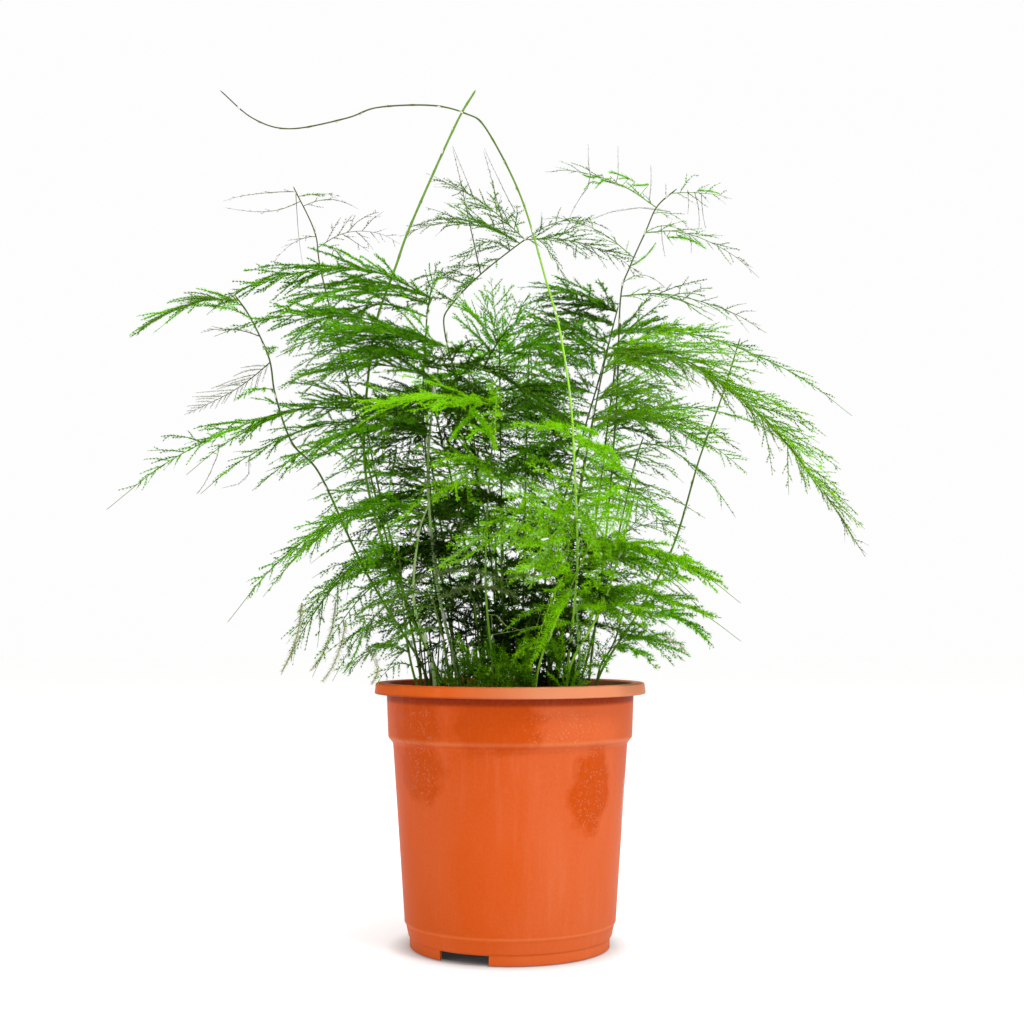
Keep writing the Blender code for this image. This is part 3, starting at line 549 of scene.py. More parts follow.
def bulge(points, centre, fixed):
    """How much each point takes part in a bend: all at its centre, none near the root."""
    run = np.linalg.norm(points - centre, axis=1)
    weight = np.where(run < BEND_REACH, 0.5 + 0.5 * np.cos(np.pi * run / BEND_REACH), 0)
    from_root = np.arange(len(points)) * SAMPLE
    return weight * np.clip((from_root - fixed) / BEND_EASE, 0, 1)


def bend_clear(points, radius, placed, owner, fixed):
    """Bends a run of points away from what the other shoots hold."""
    starts, ends, radii = placed.others(owner)
    if not len(radii):
        return points
    points = points.copy()
    for _ in range(BEND_TRIES):
        distance, near, other = segment_gaps(points[:-1], points[1:], starts, ends)
        room = distance - radii[None, :] - radius - KEEP_CLEAR
        index, against = np.unravel_index(np.argmin(room), room.shape)
        if room[index, against] >= 0:
            break
        push = near[index, against] - other[index, against]
        if np.linalg.norm(push) < SMALLEST_PUSH:
            push = np.cross(points[index + 1] - points[index], ends[against] - starts[against])
        weight = bulge(points, near[index, against], fixed)
        top = weight[index:index + 2].max()
        if top < SMALLEST_SHARE:
            break
        points += unit(push) * (OVERSHOOT - room[index, against]) * (weight / top)[:, None]
    return points


print("a bend reaches", BEND_REACH, "mm to each side and keeps", KEEP_CLEAR, "mm clear")

# %% [markdown]
# ## Stems, midribs and hidden shoots
#
# A midrib leaves its stem, rises in an arch and hangs at its tip. A shoot of the table has
# its midribs placed as seen. A shoot behind has them placed by rule, with seeded draws, so
# the bush comes out the same every time.

# %% One shoot
SOIL_TOP, SOIL_MOUND = 101.0, 1.6
HOLE_DEPTH, CLEARANCE = 8.0, 0.3
STEM_COLLAR = 2.0
STEM_ROOT_RADIUS, STEM_TIP_RADIUS, CLIMBER_TIP_RADIUS = 1.05, 0.7, 0.55
# The share of a midrib's length and the share of its arch that it has risen there.
ARCH_SHAPE = [(0.25, 0.8), (0.5, 1.0), (0.78, 0.66)]
TIP_HANG = 0.02


def spray_knots(root, tip, arch):
    """The knots of a spray's midrib: it leaves its stem, arches, and hangs at its tip."""
    span = tip - root
    length = float(np.linalg.norm(span))
    lift = np.array((0, 0, arch))
    middle = [root + span * share + lift * height for share, height in ARCH_SHAPE]
    return [root] + middle + [tip - np.array((0, 0, TIP_HANG * length))]


class Shoot:
    """One stem with its sprays, as runs of points."""

    def __init__(self, name, base, knots, owner, climber):
        self.name = name
        self.owner = owner
        self.tip_radius = CLIMBER_TIP_RADIUS if climber else STEM_TIP_RADIUS
        across, toward = base
        foot = np.array((across, -toward, SOIL_TOP - HOLE_DEPTH + CLEARANCE))
        collar = foot + np.array((0, 0, HOLE_DEPTH + SOIL_MOUND + STEM_COLLAR))
        self.stem = smooth_path([foot, collar] + knots)
        self.sprays = []


print("knots of a midrib 60 long:", [knot.round(1).tolist() for knot in spray_knots(
    np.zeros(3), np.array((60.0, 0.0, 0.0)), 10)])

# %% Hidden shoots
STEM_SPACING, STEM_REACH = 5.5, 42.0
FARTHEST_FOOT = 34
WIDE_REACH = 50


def free_spot(wanted, taken):
    """A place in the soil near the wanted one that keeps off every other stem."""
    for ring in range(40):
        for turn in range(12):
            angle = math.radians(30 * turn)
            spot = (wanted[0] + ring * math.cos(angle), wanted[1] + ring * math.sin(angle))
            if math.hypot(*spot) > STEM_REACH:
                continue
            if all(math.hypot(spot[0] - x, spot[1] - y) >= STEM_SPACING for x, y in taken):
                return spot
    return wanted


def back_shoot_plan(entry, taken, draw):
    """Works out one hidden shoot: its place in the soil, its stem and its sprays."""
    name, direction, reach, top, length, drop = entry
    angle = math.radians(direction)
    out = np.array((math.cos(angle), math.sin(angle), 0))
    from_axis = min(reach * 0.55, FARTHEST_FOOT)
    base = free_spot((out[0] * from_axis, -out[1] * from_axis), taken)
    foot = np.array((base[0], -base[1], 0))
    head = out * reach + np.array((0, 0, top))
    knots = [foot * 0.75 + head * 0.25, foot * 0.4 + head * 0.6, head]
    knots[0][2] = SOIL_TOP + (top - SOIL_TOP) * 0.32
    knots[1][2] = SOIL_TOP + (top - SOIL_TOP) * 0.72
    sprays = []
    sides = (1, -1) if reach > WIDE_REACH else (draw.choice((1, -1)),)
    for place, turn in ((1.0, draw.uniform(-14, 14)), (0.74, draw.uniform(38, 70)),):
        for side in sides if place < 1 else (1,):
            swing = angle + math.radians(turn * side)
            way = np.array((math.cos(swing), math.sin(swing), 0))
            size = length * (1.0 if place == 1 else draw.uniform(0.62, 0.8))
            fall = np.array((0, 0, -drop * draw.uniform(0.8, 1.2) * (size / length)))
            sprays.append((place, way * size + fall, size * 0.5, size * 0.1, 12 * side))
    return name, base, knots, sprays


print("a free spot beside a stem at the middle:", free_spot((0, 0), [(0, 0)]))

# %% The whole plan
SEED = 29
RACHIS_RADIUS = 0.72
STEM_FIXED, SPRAY_FIXED = 14.0, 3.0


def of_kind(rows, wanted):
    """The numbers of the rows of one kind."""
    return [numbers for kind, numbers in rows if kind == wanted]


def spray_ends(stem, spray, as_seen):
    """The root and tip of a spray, and its width, arch and tilt."""
    if as_seen:
        across, up, *tip, width, arch, tilt = spray
        root = stem[min(nearest_index(stem, across, up), len(stem) - 2)]
        return root, seen(*tip), width, arch, tilt
    place, reach, width, arch, tilt = spray
    root = stem[int(round(place * (len(stem) - 2)))]
    return root, root + reach, width, arch, tilt


def plan_shoots():
    """Every shoot with its stem bent clear of the others, and then its sprays."""
    draw = random.Random(SEED)
    shoots, wishes = [], []
    taken = []
    for name, rows in PICTURE_SHOOTS.items():
        base = rows[0][1]
        path = np.reshape(sum(of_kind(rows, "stem"), []), (-1, 3))
        sprays = of_kind(rows, "plain")
        taken.append(base)
        knots = [seen(*point) for point in path]
        shoots.append(Shoot(name, base, knots, len(shoots), not sprays))
        wishes.append((sprays, True))
    for entry in BACK_SHOOTS:
        name, base, knots, sprays = back_shoot_plan(entry, taken, draw)
        taken.append(base)
        shoots.append(Shoot(name, base, knots, len(shoots), False))
        wishes.append((sprays, False))
    placed = Placed()
    for shoot in shoots:
        shoot.stem = bend_clear(shoot.stem, STEM_ROOT_RADIUS, placed, shoot.owner, STEM_FIXED)
        radii = np.linspace(STEM_ROOT_RADIUS, shoot.tip_radius, len(shoot.stem))
        placed.add(shoot.stem, radii, shoot.owner)
    for shoot, (sprays, as_seen) in zip(shoots, wishes):
        for spray in sprays:
            root, tip, width, arch, tilt = spray_ends(shoot.stem, spray, as_seen)
            run = smooth_path(spray_knots(root, tip, arch))
            run = bend_clear(run, RACHIS_RADIUS, placed, shoot.owner, SPRAY_FIXED)
            placed.add(run, np.full(len(run), RACHIS_RADIUS), shoot.owner)
            shoot.sprays.append((run, float(width), math.radians(tilt)))
    return shoots


shoots = plan_shoots()
print("shoots:", len(shoots), "with", sum(len(shoot.sprays) for shoot in shoots), "main sprays")

# %% [markdown]
# ## Gathering thin pieces into one mesh
#
# A shoot has thousands of branches and needles. One object for each would be hopeless, and
# particles would not export. So every shoot is one mesh: arrays of corners and triangles are
# gathered for it and turned into a mesh once, at the end. Each corner also carries two numbers
# that the materials read: its tone, from deep to fresh, which also carries painted light and
# shade, and how dry it is. Each triangle says which of the shoot's six materials it takes.

# %% Gathering
NEEDLES, STEM, SCALE, PALE, FROSTED, BRIGHT = range(6)
TAU = 2.0 * math.pi


def unit_rows(rows):
    """Each row of an array at length one."""
    return rows / np.maximum(np.linalg.norm(rows, axis=-1, keepdims=True), TINY)


class Growth:
    """The corners and triangles of one shoot, gathered until its mesh is made."""

    def __init__(self):
        self.corners, self.triangles, self.tones, self.dries = [], [], [], []
        self.kinds, self.smooth, self.count = [], [], 0

    def add(self, corners, triangles, tone, dry, kind, smooth):
        """Adds corners, their triangles, and what the materials read at them."""
        corners = corners.reshape(-1, 3)
        triangles = triangles.reshape(-1, 3)
        self.corners.append(corners)
        self.triangles.append(triangles + self.count)
        self.tones.append(np.broadcast_to(tone, len(corners)))
        self.dries.append(np.broadcast_to(dry, len(corners)))
        self.kinds.append(np.full(len(triangles), kind))
        self.smooth.append(np.full(len(triangles), smooth))
        self.count += len(corners)

    def make(self, name, materials):
        """Makes the object, in metres."""
        corners = np.concatenate(self.corners).astype(np.float32) * MM
        triangles = np.concatenate(self.triangles).astype(np.int32)
        mesh = bpy.data.meshes.new(name)
        mesh.vertices.add(len(corners))
        mesh.vertices.foreach_set("co", corners.ravel())
        mesh.loops.add(triangles.size)
        mesh.loops.foreach_set("vertex_index", triangles.ravel())
        mesh.polygons.add(len(triangles))
        mesh.polygons.foreach_set("loop_start", np.arange(0, triangles.size, 3, dtype=np.int32))
        mesh.polygons.foreach_set("material_index", np.concatenate(self.kinds).astype(np.int32))
        mesh.polygons.foreach_set("use_smooth", np.concatenate(self.smooth))
        for label, values in (("tone", self.tones), ("dry", self.dries)):
            layer = mesh.attributes.new(label, "FLOAT", "POINT")
            layer.data.foreach_set("value", np.concatenate(values).astype(np.float32))
        mesh.update(calc_edges=True)
        for material in materials:
            mesh.materials.append(material)
        piece = bpy.data.objects.new(name, mesh)
        bpy.context.scene.collection.objects.link(piece)
        return piece


print("materials of a shoot:", BRIGHT + 1)

# %% [markdown]
# ## Branches as thin tubes
#
# A branch is a run of points with a radius at each. Rings of corners round the points make
# a tube. Curve objects would do it too, but a thousand of them are slow, so the rings of
# all the side branches of a spray are worked out together, as arrays.

# %% Tubes
NEARLY_UPRIGHT = 0.8


def directions(paths):
    """The direction at each point of each path."""
    ways = np.empty_like(paths)
    ways[:, 1:-1] = paths[:, 2:] - paths[:, :-2]
    ways[:, 0] = paths[:, 1] - paths[:, 0]
    ways[:, -1] = paths[:, -1] - paths[:, -2]
    return unit_rows(ways)


def tubes(growth, paths, radii, sides, tone, dry, kind):
    """Adds a tube for each path. paths is (count, points, 3) and radii (count, points)."""
    count, points, _ = paths.shape
    ways = directions(paths)
    upright = np.abs(ways[:, :1, 2:]) > NEARLY_UPRIGHT
    guide = np.where(upright, [[[1.0, 0.0, 0.0]]], [[[0.0, 0.0, 1.0]]])
    first = unit_rows(np.cross(ways, np.broadcast_to(guide, ways.shape)))
    second = np.cross(ways, first)
    angles = np.arange(sides) * TAU / sides
    rings = (paths[:, :, None] + radii[:, :, None, None]
             * (first[:, :, None] * np.cos(angles)[:, None]
                + second[:, :, None] * np.sin(angles)[:, None]))
    place = np.arange(count * points * sides).reshape(count, points, sides)
    low, low_next = place[:, :-1], np.roll(place[:, :-1], -1, axis=2)
    high, high_next = place[:, 1:], np.roll(place[:, 1:], -1, axis=2)
    quads = np.stack([np.stack([low, high, high_next], -1),
                      np.stack([low, high_next, low_next], -1)], axis=3)
    tone = np.repeat(np.broadcast_to(tone, (count, points)).ravel(), sides)
    dry = np.repeat(np.broadcast_to(dry, (count, points)).ravel(), sides)
    growth.add(rings, quads, tone, dry, kind, True)


trial = Growth()
tubes(trial, np.array([[(0, 0, 0), (0, 0, 5), (0, 1, 9)]], float), np.ones((1, 3)), 4, 1, 0, STEM)
print("a tube through three points with four sides:", len(trial.triangles[0]), "triangles")

# %% [markdown]
# ## Needles
#
# What look like leaves are really tiny green twigs, needle-thin, in tufts. There are some
# hundreds of thousands of them, so each is the least that can be: one sliver of a triangle,
# from a foot 0.3 mm wide to a point. Each sliver is turned at random about its own length,
# so that some show their width from every side. It is deeper in tone at its foot.
#
# Two stems stay in view as bright lines in front of the bush, almost down to the pot. So no
# needle grows where it would be seen right in front of them.

# %% Needles
NEEDLE_SHADES = np.array([-0.22, -0.22, 0.16])
SIGHT_HALF = 1.7
SIGHT_MARGIN = 10.0
# Between which heights each of these two stems is kept in view.
SIGHT_STEMS = {"climber_curled": (148.0, 305.0), "shoot_left_tier": (116.0, 236.0)}

in_view = []
for shoot in shoots:
    if shoot.name in SIGHT_STEMS:
        low, high = SIGHT_STEMS[shoot.name]
        in_view.append((shoot.stem[shoot.stem[:, 2] < high + SIGHT_MARGIN], low, high))


def in_sight(points):
    """Which points would be seen right in front of one of the stems in view."""
    across, up = seen_at(points)
    found = np.zeros(len(points), bool)
    for line, low, high in in_view:
        line_across, line_up = seen_at(line)
        off = np.abs(across - np.interp(up, line_up, line_across))
        ahead = points[:, 1] < np.interp(up, line_up, line[:, 1])
        found |= ahead & (off < SIGHT_HALF) & (up > low) & (up < high)
    return found


def needles(growth, feet, ways, lengths, widths, tone, dry, paint, draw):
    """Adds one sliver for each foot."""
    across = unit_rows(np.cross(ways, draw.normal(size=(len(feet), 3))))
    half = across * widths[:, None] * 0.5
    reach = ways * lengths[:, None]
    corners = np.stack([feet - half, feet + half, feet + reach], axis=1)
    shades = np.clip(tone[:, None] + NEEDLE_SHADES, 0, 1)
    keep = ~in_sight(feet + reach * 0.5)
    triangles = np.arange(keep.sum() * 3)
    growth.add(corners[keep], triangles, shades[keep].ravel(), np.repeat(dry[keep], 3), paint,
               False)


print("stems kept in view:", len(in_view))

# %% [markdown]
# ## Strands
#
# A side branch and the smaller branches on it are all strands: a gently bent line with
# tufts of needles along it. A strand is three points, joined by the same smooth bend for
# all of them, so places along a thousand strands come from one line of arithmetic. Short
# strands need fewer rings.

# %% Strands
STRAND_RADII = (0.20, 0.07)
STRAND_SIDES = 3
THICK_STRAND = 16.0
BARK_SHADE = 0.8
# Longer than, up to, and the shares of its length at which such a strand has a ring.
STRAND_RINGS = [(0, 6, (0, 1)), (6, 15, (0, 0.55, 1)), (15, 999, (0, 0.35, 0.7, 1))]


def bent(strands, share):
    """Places and directions at a share along each strand. strands is (count, 3, 3)."""
    root, middle, tip = strands[:, 0], strands[:, 1], strands[:, 2]
    share = share[:, None]
    place = (1 - share) ** 2 * root + 2 * share * (1 - share) * middle + share ** 2 * tip
    way = (1 - share) * (middle - root) + share * (tip - middle)
    return place, unit_rows(way)


def strand_tubes(growth, strands, lengths, marks, look, tone, dry):
    """Adds the thin tubes of strands, with a ring at each of the marks."""
    paths = np.stack([bent(strands, np.full(len(strands), mark))[0] for mark in marks], axis=1)
    thin = look["core"] * np.clip(lengths / THICK_STRAND, 0.5, 1.15)[:, None]
    radii = thin * np.interp(marks, [0, 1], STRAND_RADII)
    tubes(growth, paths, radii, STRAND_SIDES, tone[:, None] * BARK_SHADE, dry[:, None],
          look["paint"])


half_way, _ = bent(np.array([[(0, 0, 0), (5.0, 0, 2), (10.0, 0, 0)]]), np.array([0.5]))
print("half way along a strand bent up 2 mm:", half_way[0])

# %% [markdown]
# ## Tufts on a strand
#
# The needles leave their strand in tufts, not evenly. So their places are spread evenly
# first and then pulled most of the way to the nearest tuft. Each leans out of the strand
# to a side drawn at random, flattened into the spray's plane. They grow shorter towards the
# strand's tip, and where a strand has a tail, hardly any grow on it.

# %% Tufts
TUFT_PULL = 0.85
TAIL_BARE = 0.88
LEAN_SCATTER = 14.0
TIP_SHORTER = 0.45
TIP_WEAR = 0.3


def tuft_places(strands, lengths, look, tail, draw):
    """Which strand each needle is on, and its share along it."""
    full = look["needles"] * draw.uniform(0.65, 1.25, len(lengths))
    counts = np.maximum((lengths * full).astype(int), 2)
    which = np.repeat(np.arange(len(strands)), counts)
    order = np.concatenate([np.arange(n) for n in counts])
    share = (order + draw.uniform(0, 1, len(order))) / counts[which]
    tuft = look["tuft"] / lengths[which]
    share = share + (np.round(share / tuft) * tuft - share) * TUFT_PULL
    share = np.clip(share, 0.01, 1.0)
    bare = (share > tail[which]) & (draw.random(len(share)) < TAIL_BARE)
    keep = ~bare & (draw.random(len(share)) > look["gaps"])
    return which[keep], share[keep]


def dress_strands(growth, strands, flat, look, tone, dry, tail, fullness, draw):
    """Adds the strands' thin tubes and the tufts of needles along them."""
    lengths = np.linalg.norm(strands[:, 2] - strands[:, 0], axis=1)
    for low, high, marks in STRAND_RINGS:
        group = (lengths > low) & (lengths <= high)
        if group.any():
            strand_tubes(growth, strands[group], lengths[group], np.array(marks, float), look,
                         tone[group], dry[group])
    which, share = tuft_places(strands, lengths, look, tail, draw)
    feet, ways = bent(strands[which], share)
    normal = flat[which]
    across = unit_rows(np.cross(ways, normal))
    turn = draw.uniform(0, TAU, len(which))
    out = across * np.cos(turn)[:, None] + normal * (look["puff"] * np.sin(turn))[:, None]
    lean = np.radians(draw.normal(look["lean"], LEAN_SCATTER, len(which)))
    heading = unit_rows(ways * np.cos(lean)[:, None] + unit_rows(out) * np.sin(lean)[:, None])
    size = (look["needle"] * fullness[which] * draw.uniform(0.60, 1.25, len(which))
            * (1 - TIP_SHORTER * share ** 2))
    width = look["blade"] * draw.uniform(0.8, 1.2, len(which))
    shade = np.clip(tone[which] + draw.normal(0, look["spread"], len(which)), 0, 1)
    worn = np.clip(dry[which] + TIP_WEAR * look["worn"] * share ** 3, 0, 1)
    needles(growth, feet, heading, size, width, shade, worn, look["paint"], draw)


print("needles are pulled", round(TUFT_PULL * 100), "% of the way to their tuft")

# %% [markdown]
# ## Growing one spray
#
# Along the midrib, side branches leave left and right in turn. They are longest a third of
# the way out, so the spray is a long triangle. Each longer side branch carries smaller
# branches in the same flat plane, and the outermost ends run out into thin bare tips. The
# plane is tilted about the midrib, because in the picture most sprays are seen edge on, as
# a bundle of fine parallel streaks, and only a few lie open to the viewer.

# %% The midrib
MIDRIB_RADII = (0.42, 0.10)
MIDRIB_SIDES = 4
FULL_MIDRIB = 70.0
MIDRIB_SHADE = 0.6


def along_run(points, marks):
    """Places and directions at distances along a run of points."""
    steps = np.linalg.norm(np.diff(points, axis=0), axis=1)
    run = np.concatenate(([0.0], np.cumsum(steps)))
    index = np.clip(np.searchsorted(run, marks, side="right") - 1, 0, len(steps) - 1)
    share = (marks - run[index]) / steps[index]
    place = points[index] + (points[index + 1] - points[index]) * share[:, None]
    return place, unit_rows(points[index + 1] - points[index])


def drying(share, look):
    """How dry a spray is along its length: green at first, drying towards its tip."""
    return look["dry"] * np.clip((share - look["fresh"]) / (1.01 - look["fresh"]), 0, 1)


def midrib_tube(growth, run, length, look):
    """Adds the tube of a spray's midrib."""
    shares = np.linspace(0, 1, len(run))
    thick = np.clip(length / FULL_MIDRIB, 0.6, 1.0) * look["wood"]
    radii = np.interp(shares, [0, 1], MIDRIB_RADII) * thick
    dry = np.maximum(drying(shares, look), look["twig"])
    tubes(growth, run[None], radii[None], MIDRIB_SIDES, look["tone"] * MIDRIB_SHADE, dry[None],
          STEM)


print("a midrib is", MIDRIB_RADII[0] * 2, "mm thick at its root")

# %% Side branches
FEWEST_BRANCHES = 5
SMALLEST_HALF = 1.2
EASED_ROOT = 0.25
BOW = 0.05
SWEEP = 0.04
TONE_SCATTER = 0.15
TAIL_START = 0.62
NO_TAIL = 2.0


def pinna_widths(share):
    """How wide a spray is along its length, as a share of its greatest width."""
    return np.sin(math.pi * np.minimum(0.14 + 0.86 * share, 1.0) ** 0.62) ** 0.8


def spray_frame(run, marks, tilt):
    """Where side branches leave the midrib, and the spray's own directions there."""
    root, along = along_run(run, marks)
    level = unit_rows(np.cross(along, [0.0, 0.0, 1.0]))
    over = unit_rows(np.cross(level, along))
    across = level * math.cos(tilt) + over * math.sin(tilt)
    return root, along, across, unit_rows(np.cross(across, along))


def side_reach(share, under, width, look, draw):
    """How long each side branch is."""
    half = np.maximum(0.5 * width * pinna_widths(share), SMALLEST_HALF)
    half = half * np.interp(share, [0.0, look["eased"]], [EASED_ROOT, 1.0])
    reach = half / np.sin(np.radians(look["angle"])) * draw.uniform(0.5, 1.15, len(share))
    return reach * np.where(under, look["under"], 1.0)


def side_branches(run, length, width, tilt, look, draw):
    """The side branches of a spray, with their plane, length, place, tone and dryness."""
    covered = 1 - look["bare"]
    count = max(int(length * covered / look["gap"]), FEWEST_BRANCHES)
    order = np.arange(count)
    share = (order + 0.6 + draw.uniform(-0.4, 0.4, count)) / count * covered
    root, along, across, normal = spray_frame(run, share * length, tilt)
    side = np.where(order % 2, 1.0, -1.0)[:, None]
    angle = np.radians(np.clip(draw.normal(look["angle"], look["uneven"], count), 16, 80))
    angle = angle * (1.08 - 0.3 * share)
    under = (across * side)[:, 2] < 0
    reach = side_reach(share, under, width, look, draw)
    lift = np.radians(draw.normal(look["rise"], look["loose"], count))
    way = unit_rows(along * np.cos(angle)[:, None] + across * side * np.sin(angle)[:, None]
                    + normal * np.sin(lift)[:, None])
    tip = root + way * reach[:, None]
    tip[:, 2] -= look["sag"] * reach * draw.uniform(0.4, 1.6, count)
    bow = draw.normal(0, BOW, (count, 2)) * reach[:, None]
    middle = (0.5 * (root + tip) - along * (SWEEP * reach)[:, None]
              + across * bow[:, :1] + normal * bow[:, 1:])
    middle[:, 2] += 0.5 * look["sag"] * reach + 0.02 * reach
    strands = np.stack([root, middle, tip], axis=1)
    tone = np.clip(look["tone"] + draw.normal(0, TONE_SCATTER, count), 0.02, 1)
    dry = drying(share, look) * draw.uniform(0.5, 1.3, count)
    dry = np.clip(dry + look["twig"] + look["under_dry"] * under, 0, 1)
    return strands, normal, reach, share, tone, dry


print("a spray's width along it:", pinna_widths(np.linspace(0, 1, 6)).round(2))

# %% Smaller branches
SMALL_SHARE = 0.42
SMALL_LEAST = 1.5
SMALL_SCATTER = 5.0


def small_branches(strands, normal, reach, look, draw):
    """The smaller branches on the longer side branches, in the same plane."""
    counts = np.where(reach > look["bear"], (reach * 0.8 / look["small_gap"]).astype(int), 0)
    parent = np.repeat(np.arange(len(reach)), counts)
    if not len(parent):
        return parent, None, None
    order = np.concatenate([np.arange(n) for n in counts])
    share = 0.08 + 0.84 * (order + 0.5 + draw.uniform(-0.4, 0.4, len(order))) / counts[parent]
    root, way = bent(strands[parent], share)
    flat = normal[parent]
    across = unit_rows(np.cross(flat, way)) * np.where(order % 2, 1.0, -1.0)[:, None]
    angle = np.radians(draw.normal(look["small_angle"], SMALL_SCATTER, len(order)))
    size = reach[parent] * (1 - share) * SMALL_SHARE + SMALL_LEAST
    size = np.minimum(size, look["longest_small"]) * draw.uniform(0.6, 1.1, len(order))
    lift = np.sin(np.radians(draw.normal(0.0, look["loose"], len(order))))
    heading = unit_rows(way * np.cos(angle)[:, None] + across * np.sin(angle)[:, None]
                        + flat * lift[:, None])
    tip = root + heading * size[:, None]
    tip[:, 2] -= 0.05 * size
    middle = 0.5 * (root + tip) - way * (0.06 * size)[:, None]
    return parent, np.stack([root, middle, tip], axis=1), flat


print("smaller branches reach", SMALL_SHARE, "of what is left of their side branch")

# %% One spray
OUTER_THINNER = 0.38
LAST_SHARE = 0.22
END_TAIL = 0.8
BARE_END = 0.05


def dress_end(growth, run, normal, look, tone, dry, fullness, draw):
    """Adds needles along the last stretch of the midrib itself."""
    end = run[-max(int(len(run) * LAST_SHARE), 3):]
    middle = end[len(end) // 2] * 2 - (end[0] + end[-1]) * 0.5
    last = np.stack([end[0], middle, end[-1]])[None]
    dress_strands(growth, last, normal[-1:], look, tone[-1:], dry[-1:], np.array([END_TAIL]),
                  fullness[-1:], draw)


def grow_spray(growth, run, width, tilt, look, draw):
    """Adds one spray: midrib, side branches, smaller branches and needles."""
    length = float(np.linalg.norm(np.diff(run, axis=0), axis=1).sum())
    midrib_tube(growth, run, length, look)
    if width <= 0:
        return
    strands, normal, reach, share, tone, dry = side_branches(
        run, length, width * look["wide"], tilt * look["open"], look, draw)
    tail = np.where(draw.random(len(share)) < look["tails"] * (0.3 + share), TAIL_START, NO_TAIL)
    fullness = 1 - OUTER_THINNER * share ** 2
    dress_strands(growth, strands, normal, look, tone, dry, tail, fullness, draw)
    parent, smaller, flat = small_branches(strands, normal, reach, look, draw)
    if len(parent):
        dress_strands(growth, smaller, flat, look, tone[parent], dry[parent],
                      np.full(len(parent), NO_TAIL), fullness[parent], draw)
    if look["bare"] < BARE_END:
        dress_end(growth, run, normal, look, tone, dry, fullness, draw)


print("needles at a spray's tip are", round(1 - OUTER_THINNER, 2), "as long as at its root")

# %% [markdown]
# ## Smaller sprays between
#
# Between the main sprays the bush is full of lesser ones, on the same stems. They are grown
# by the same code: each leaves its stem somewhere along a stretch, heads roughly where the
# shoot's main sprays head, arches and hangs. A shoot says how many, how long, and how far
# they may turn aside.

# %% Lesser sprays
RIM_CLEAR = 122.0
POT_CLEAR = 44
MAIN_LENGTH = 25
SWAY = 0.06


def arched_run(root, heading, reach, look, draw):
    """A midrib that leaves its root at a heading, arches and hangs."""
    drop = reach * draw.uniform(*look["fall"])
    flat = np.array([math.cos(heading), math.sin(heading), 0.0])
    marks = np.linspace(0, 1, 16)[:, None]
    rise = reach * draw.uniform(*look["lift"]) * np.sin(math.pi * marks * 0.9)
    sway = np.cross(flat, [0, 0, 1]) * draw.normal(0, SWAY) * reach
    return (root + flat * reach * marks + sway * marks ** 2
            + np.array([0, 0, 1.0]) * (rise - drop * marks ** 1.7))


def lesser_sprays(shoot, look, draw):
    """Runs, widths and tilts of the lesser sprays of a shoot, in millimetres."""
    ends = [run[-1] - run[0] for run, _, _ in shoot.sprays]
    leads = [end for end in ends if np.linalg.norm(end) > MAIN_LENGTH]
    found = []
    low, high = look["between"]
    for number in range(look["lesser"]):
        share = low + (high - low) * (number + draw.uniform(0.1, 0.9)) / look["lesser"]
        root = shoot.stem[min(int(share * (len(shoot.stem) - 1)), len(shoot.stem) - 2)]
        if leads and draw.random() > look["stray"]:
            lead = leads[draw.integers(len(leads))]
            heading = math.atan2(lead[1], lead[0]) + draw.normal(0, look["swing"])
        else:
            heading = draw.uniform(0, TAU)
        reach = look["span"] * draw.uniform(0.55, 1.0)
        run = arched_run(root, heading, reach, look, draw)
        width, tilt = reach * draw.uniform(0.3, 0.5), math.radians(draw.normal(0, look["cant"]))
        if run[-1, 2] > RIM_CLEAR or np.hypot(run[-1, 0], run[-1, 1]) < POT_CLEAR:
            found.append((run, width, tilt))
    return found


print("lesser sprays end above", RIM_CLEAR, "mm or inside the pot")

# %% [markdown]
# ## Sprays that only the picture needs
#
# The solids stand for the large sprays. The picture shows more, small or thin, in the gaps
# between those. They are placed here as they are seen, in the columns of the first table. A
# root moves to the nearest place on its own stem, so none of them floats. A kind at the end
# says in what the spray differs from its shoot, from the dark ones deep in the bush to the
# grey twigs on top.

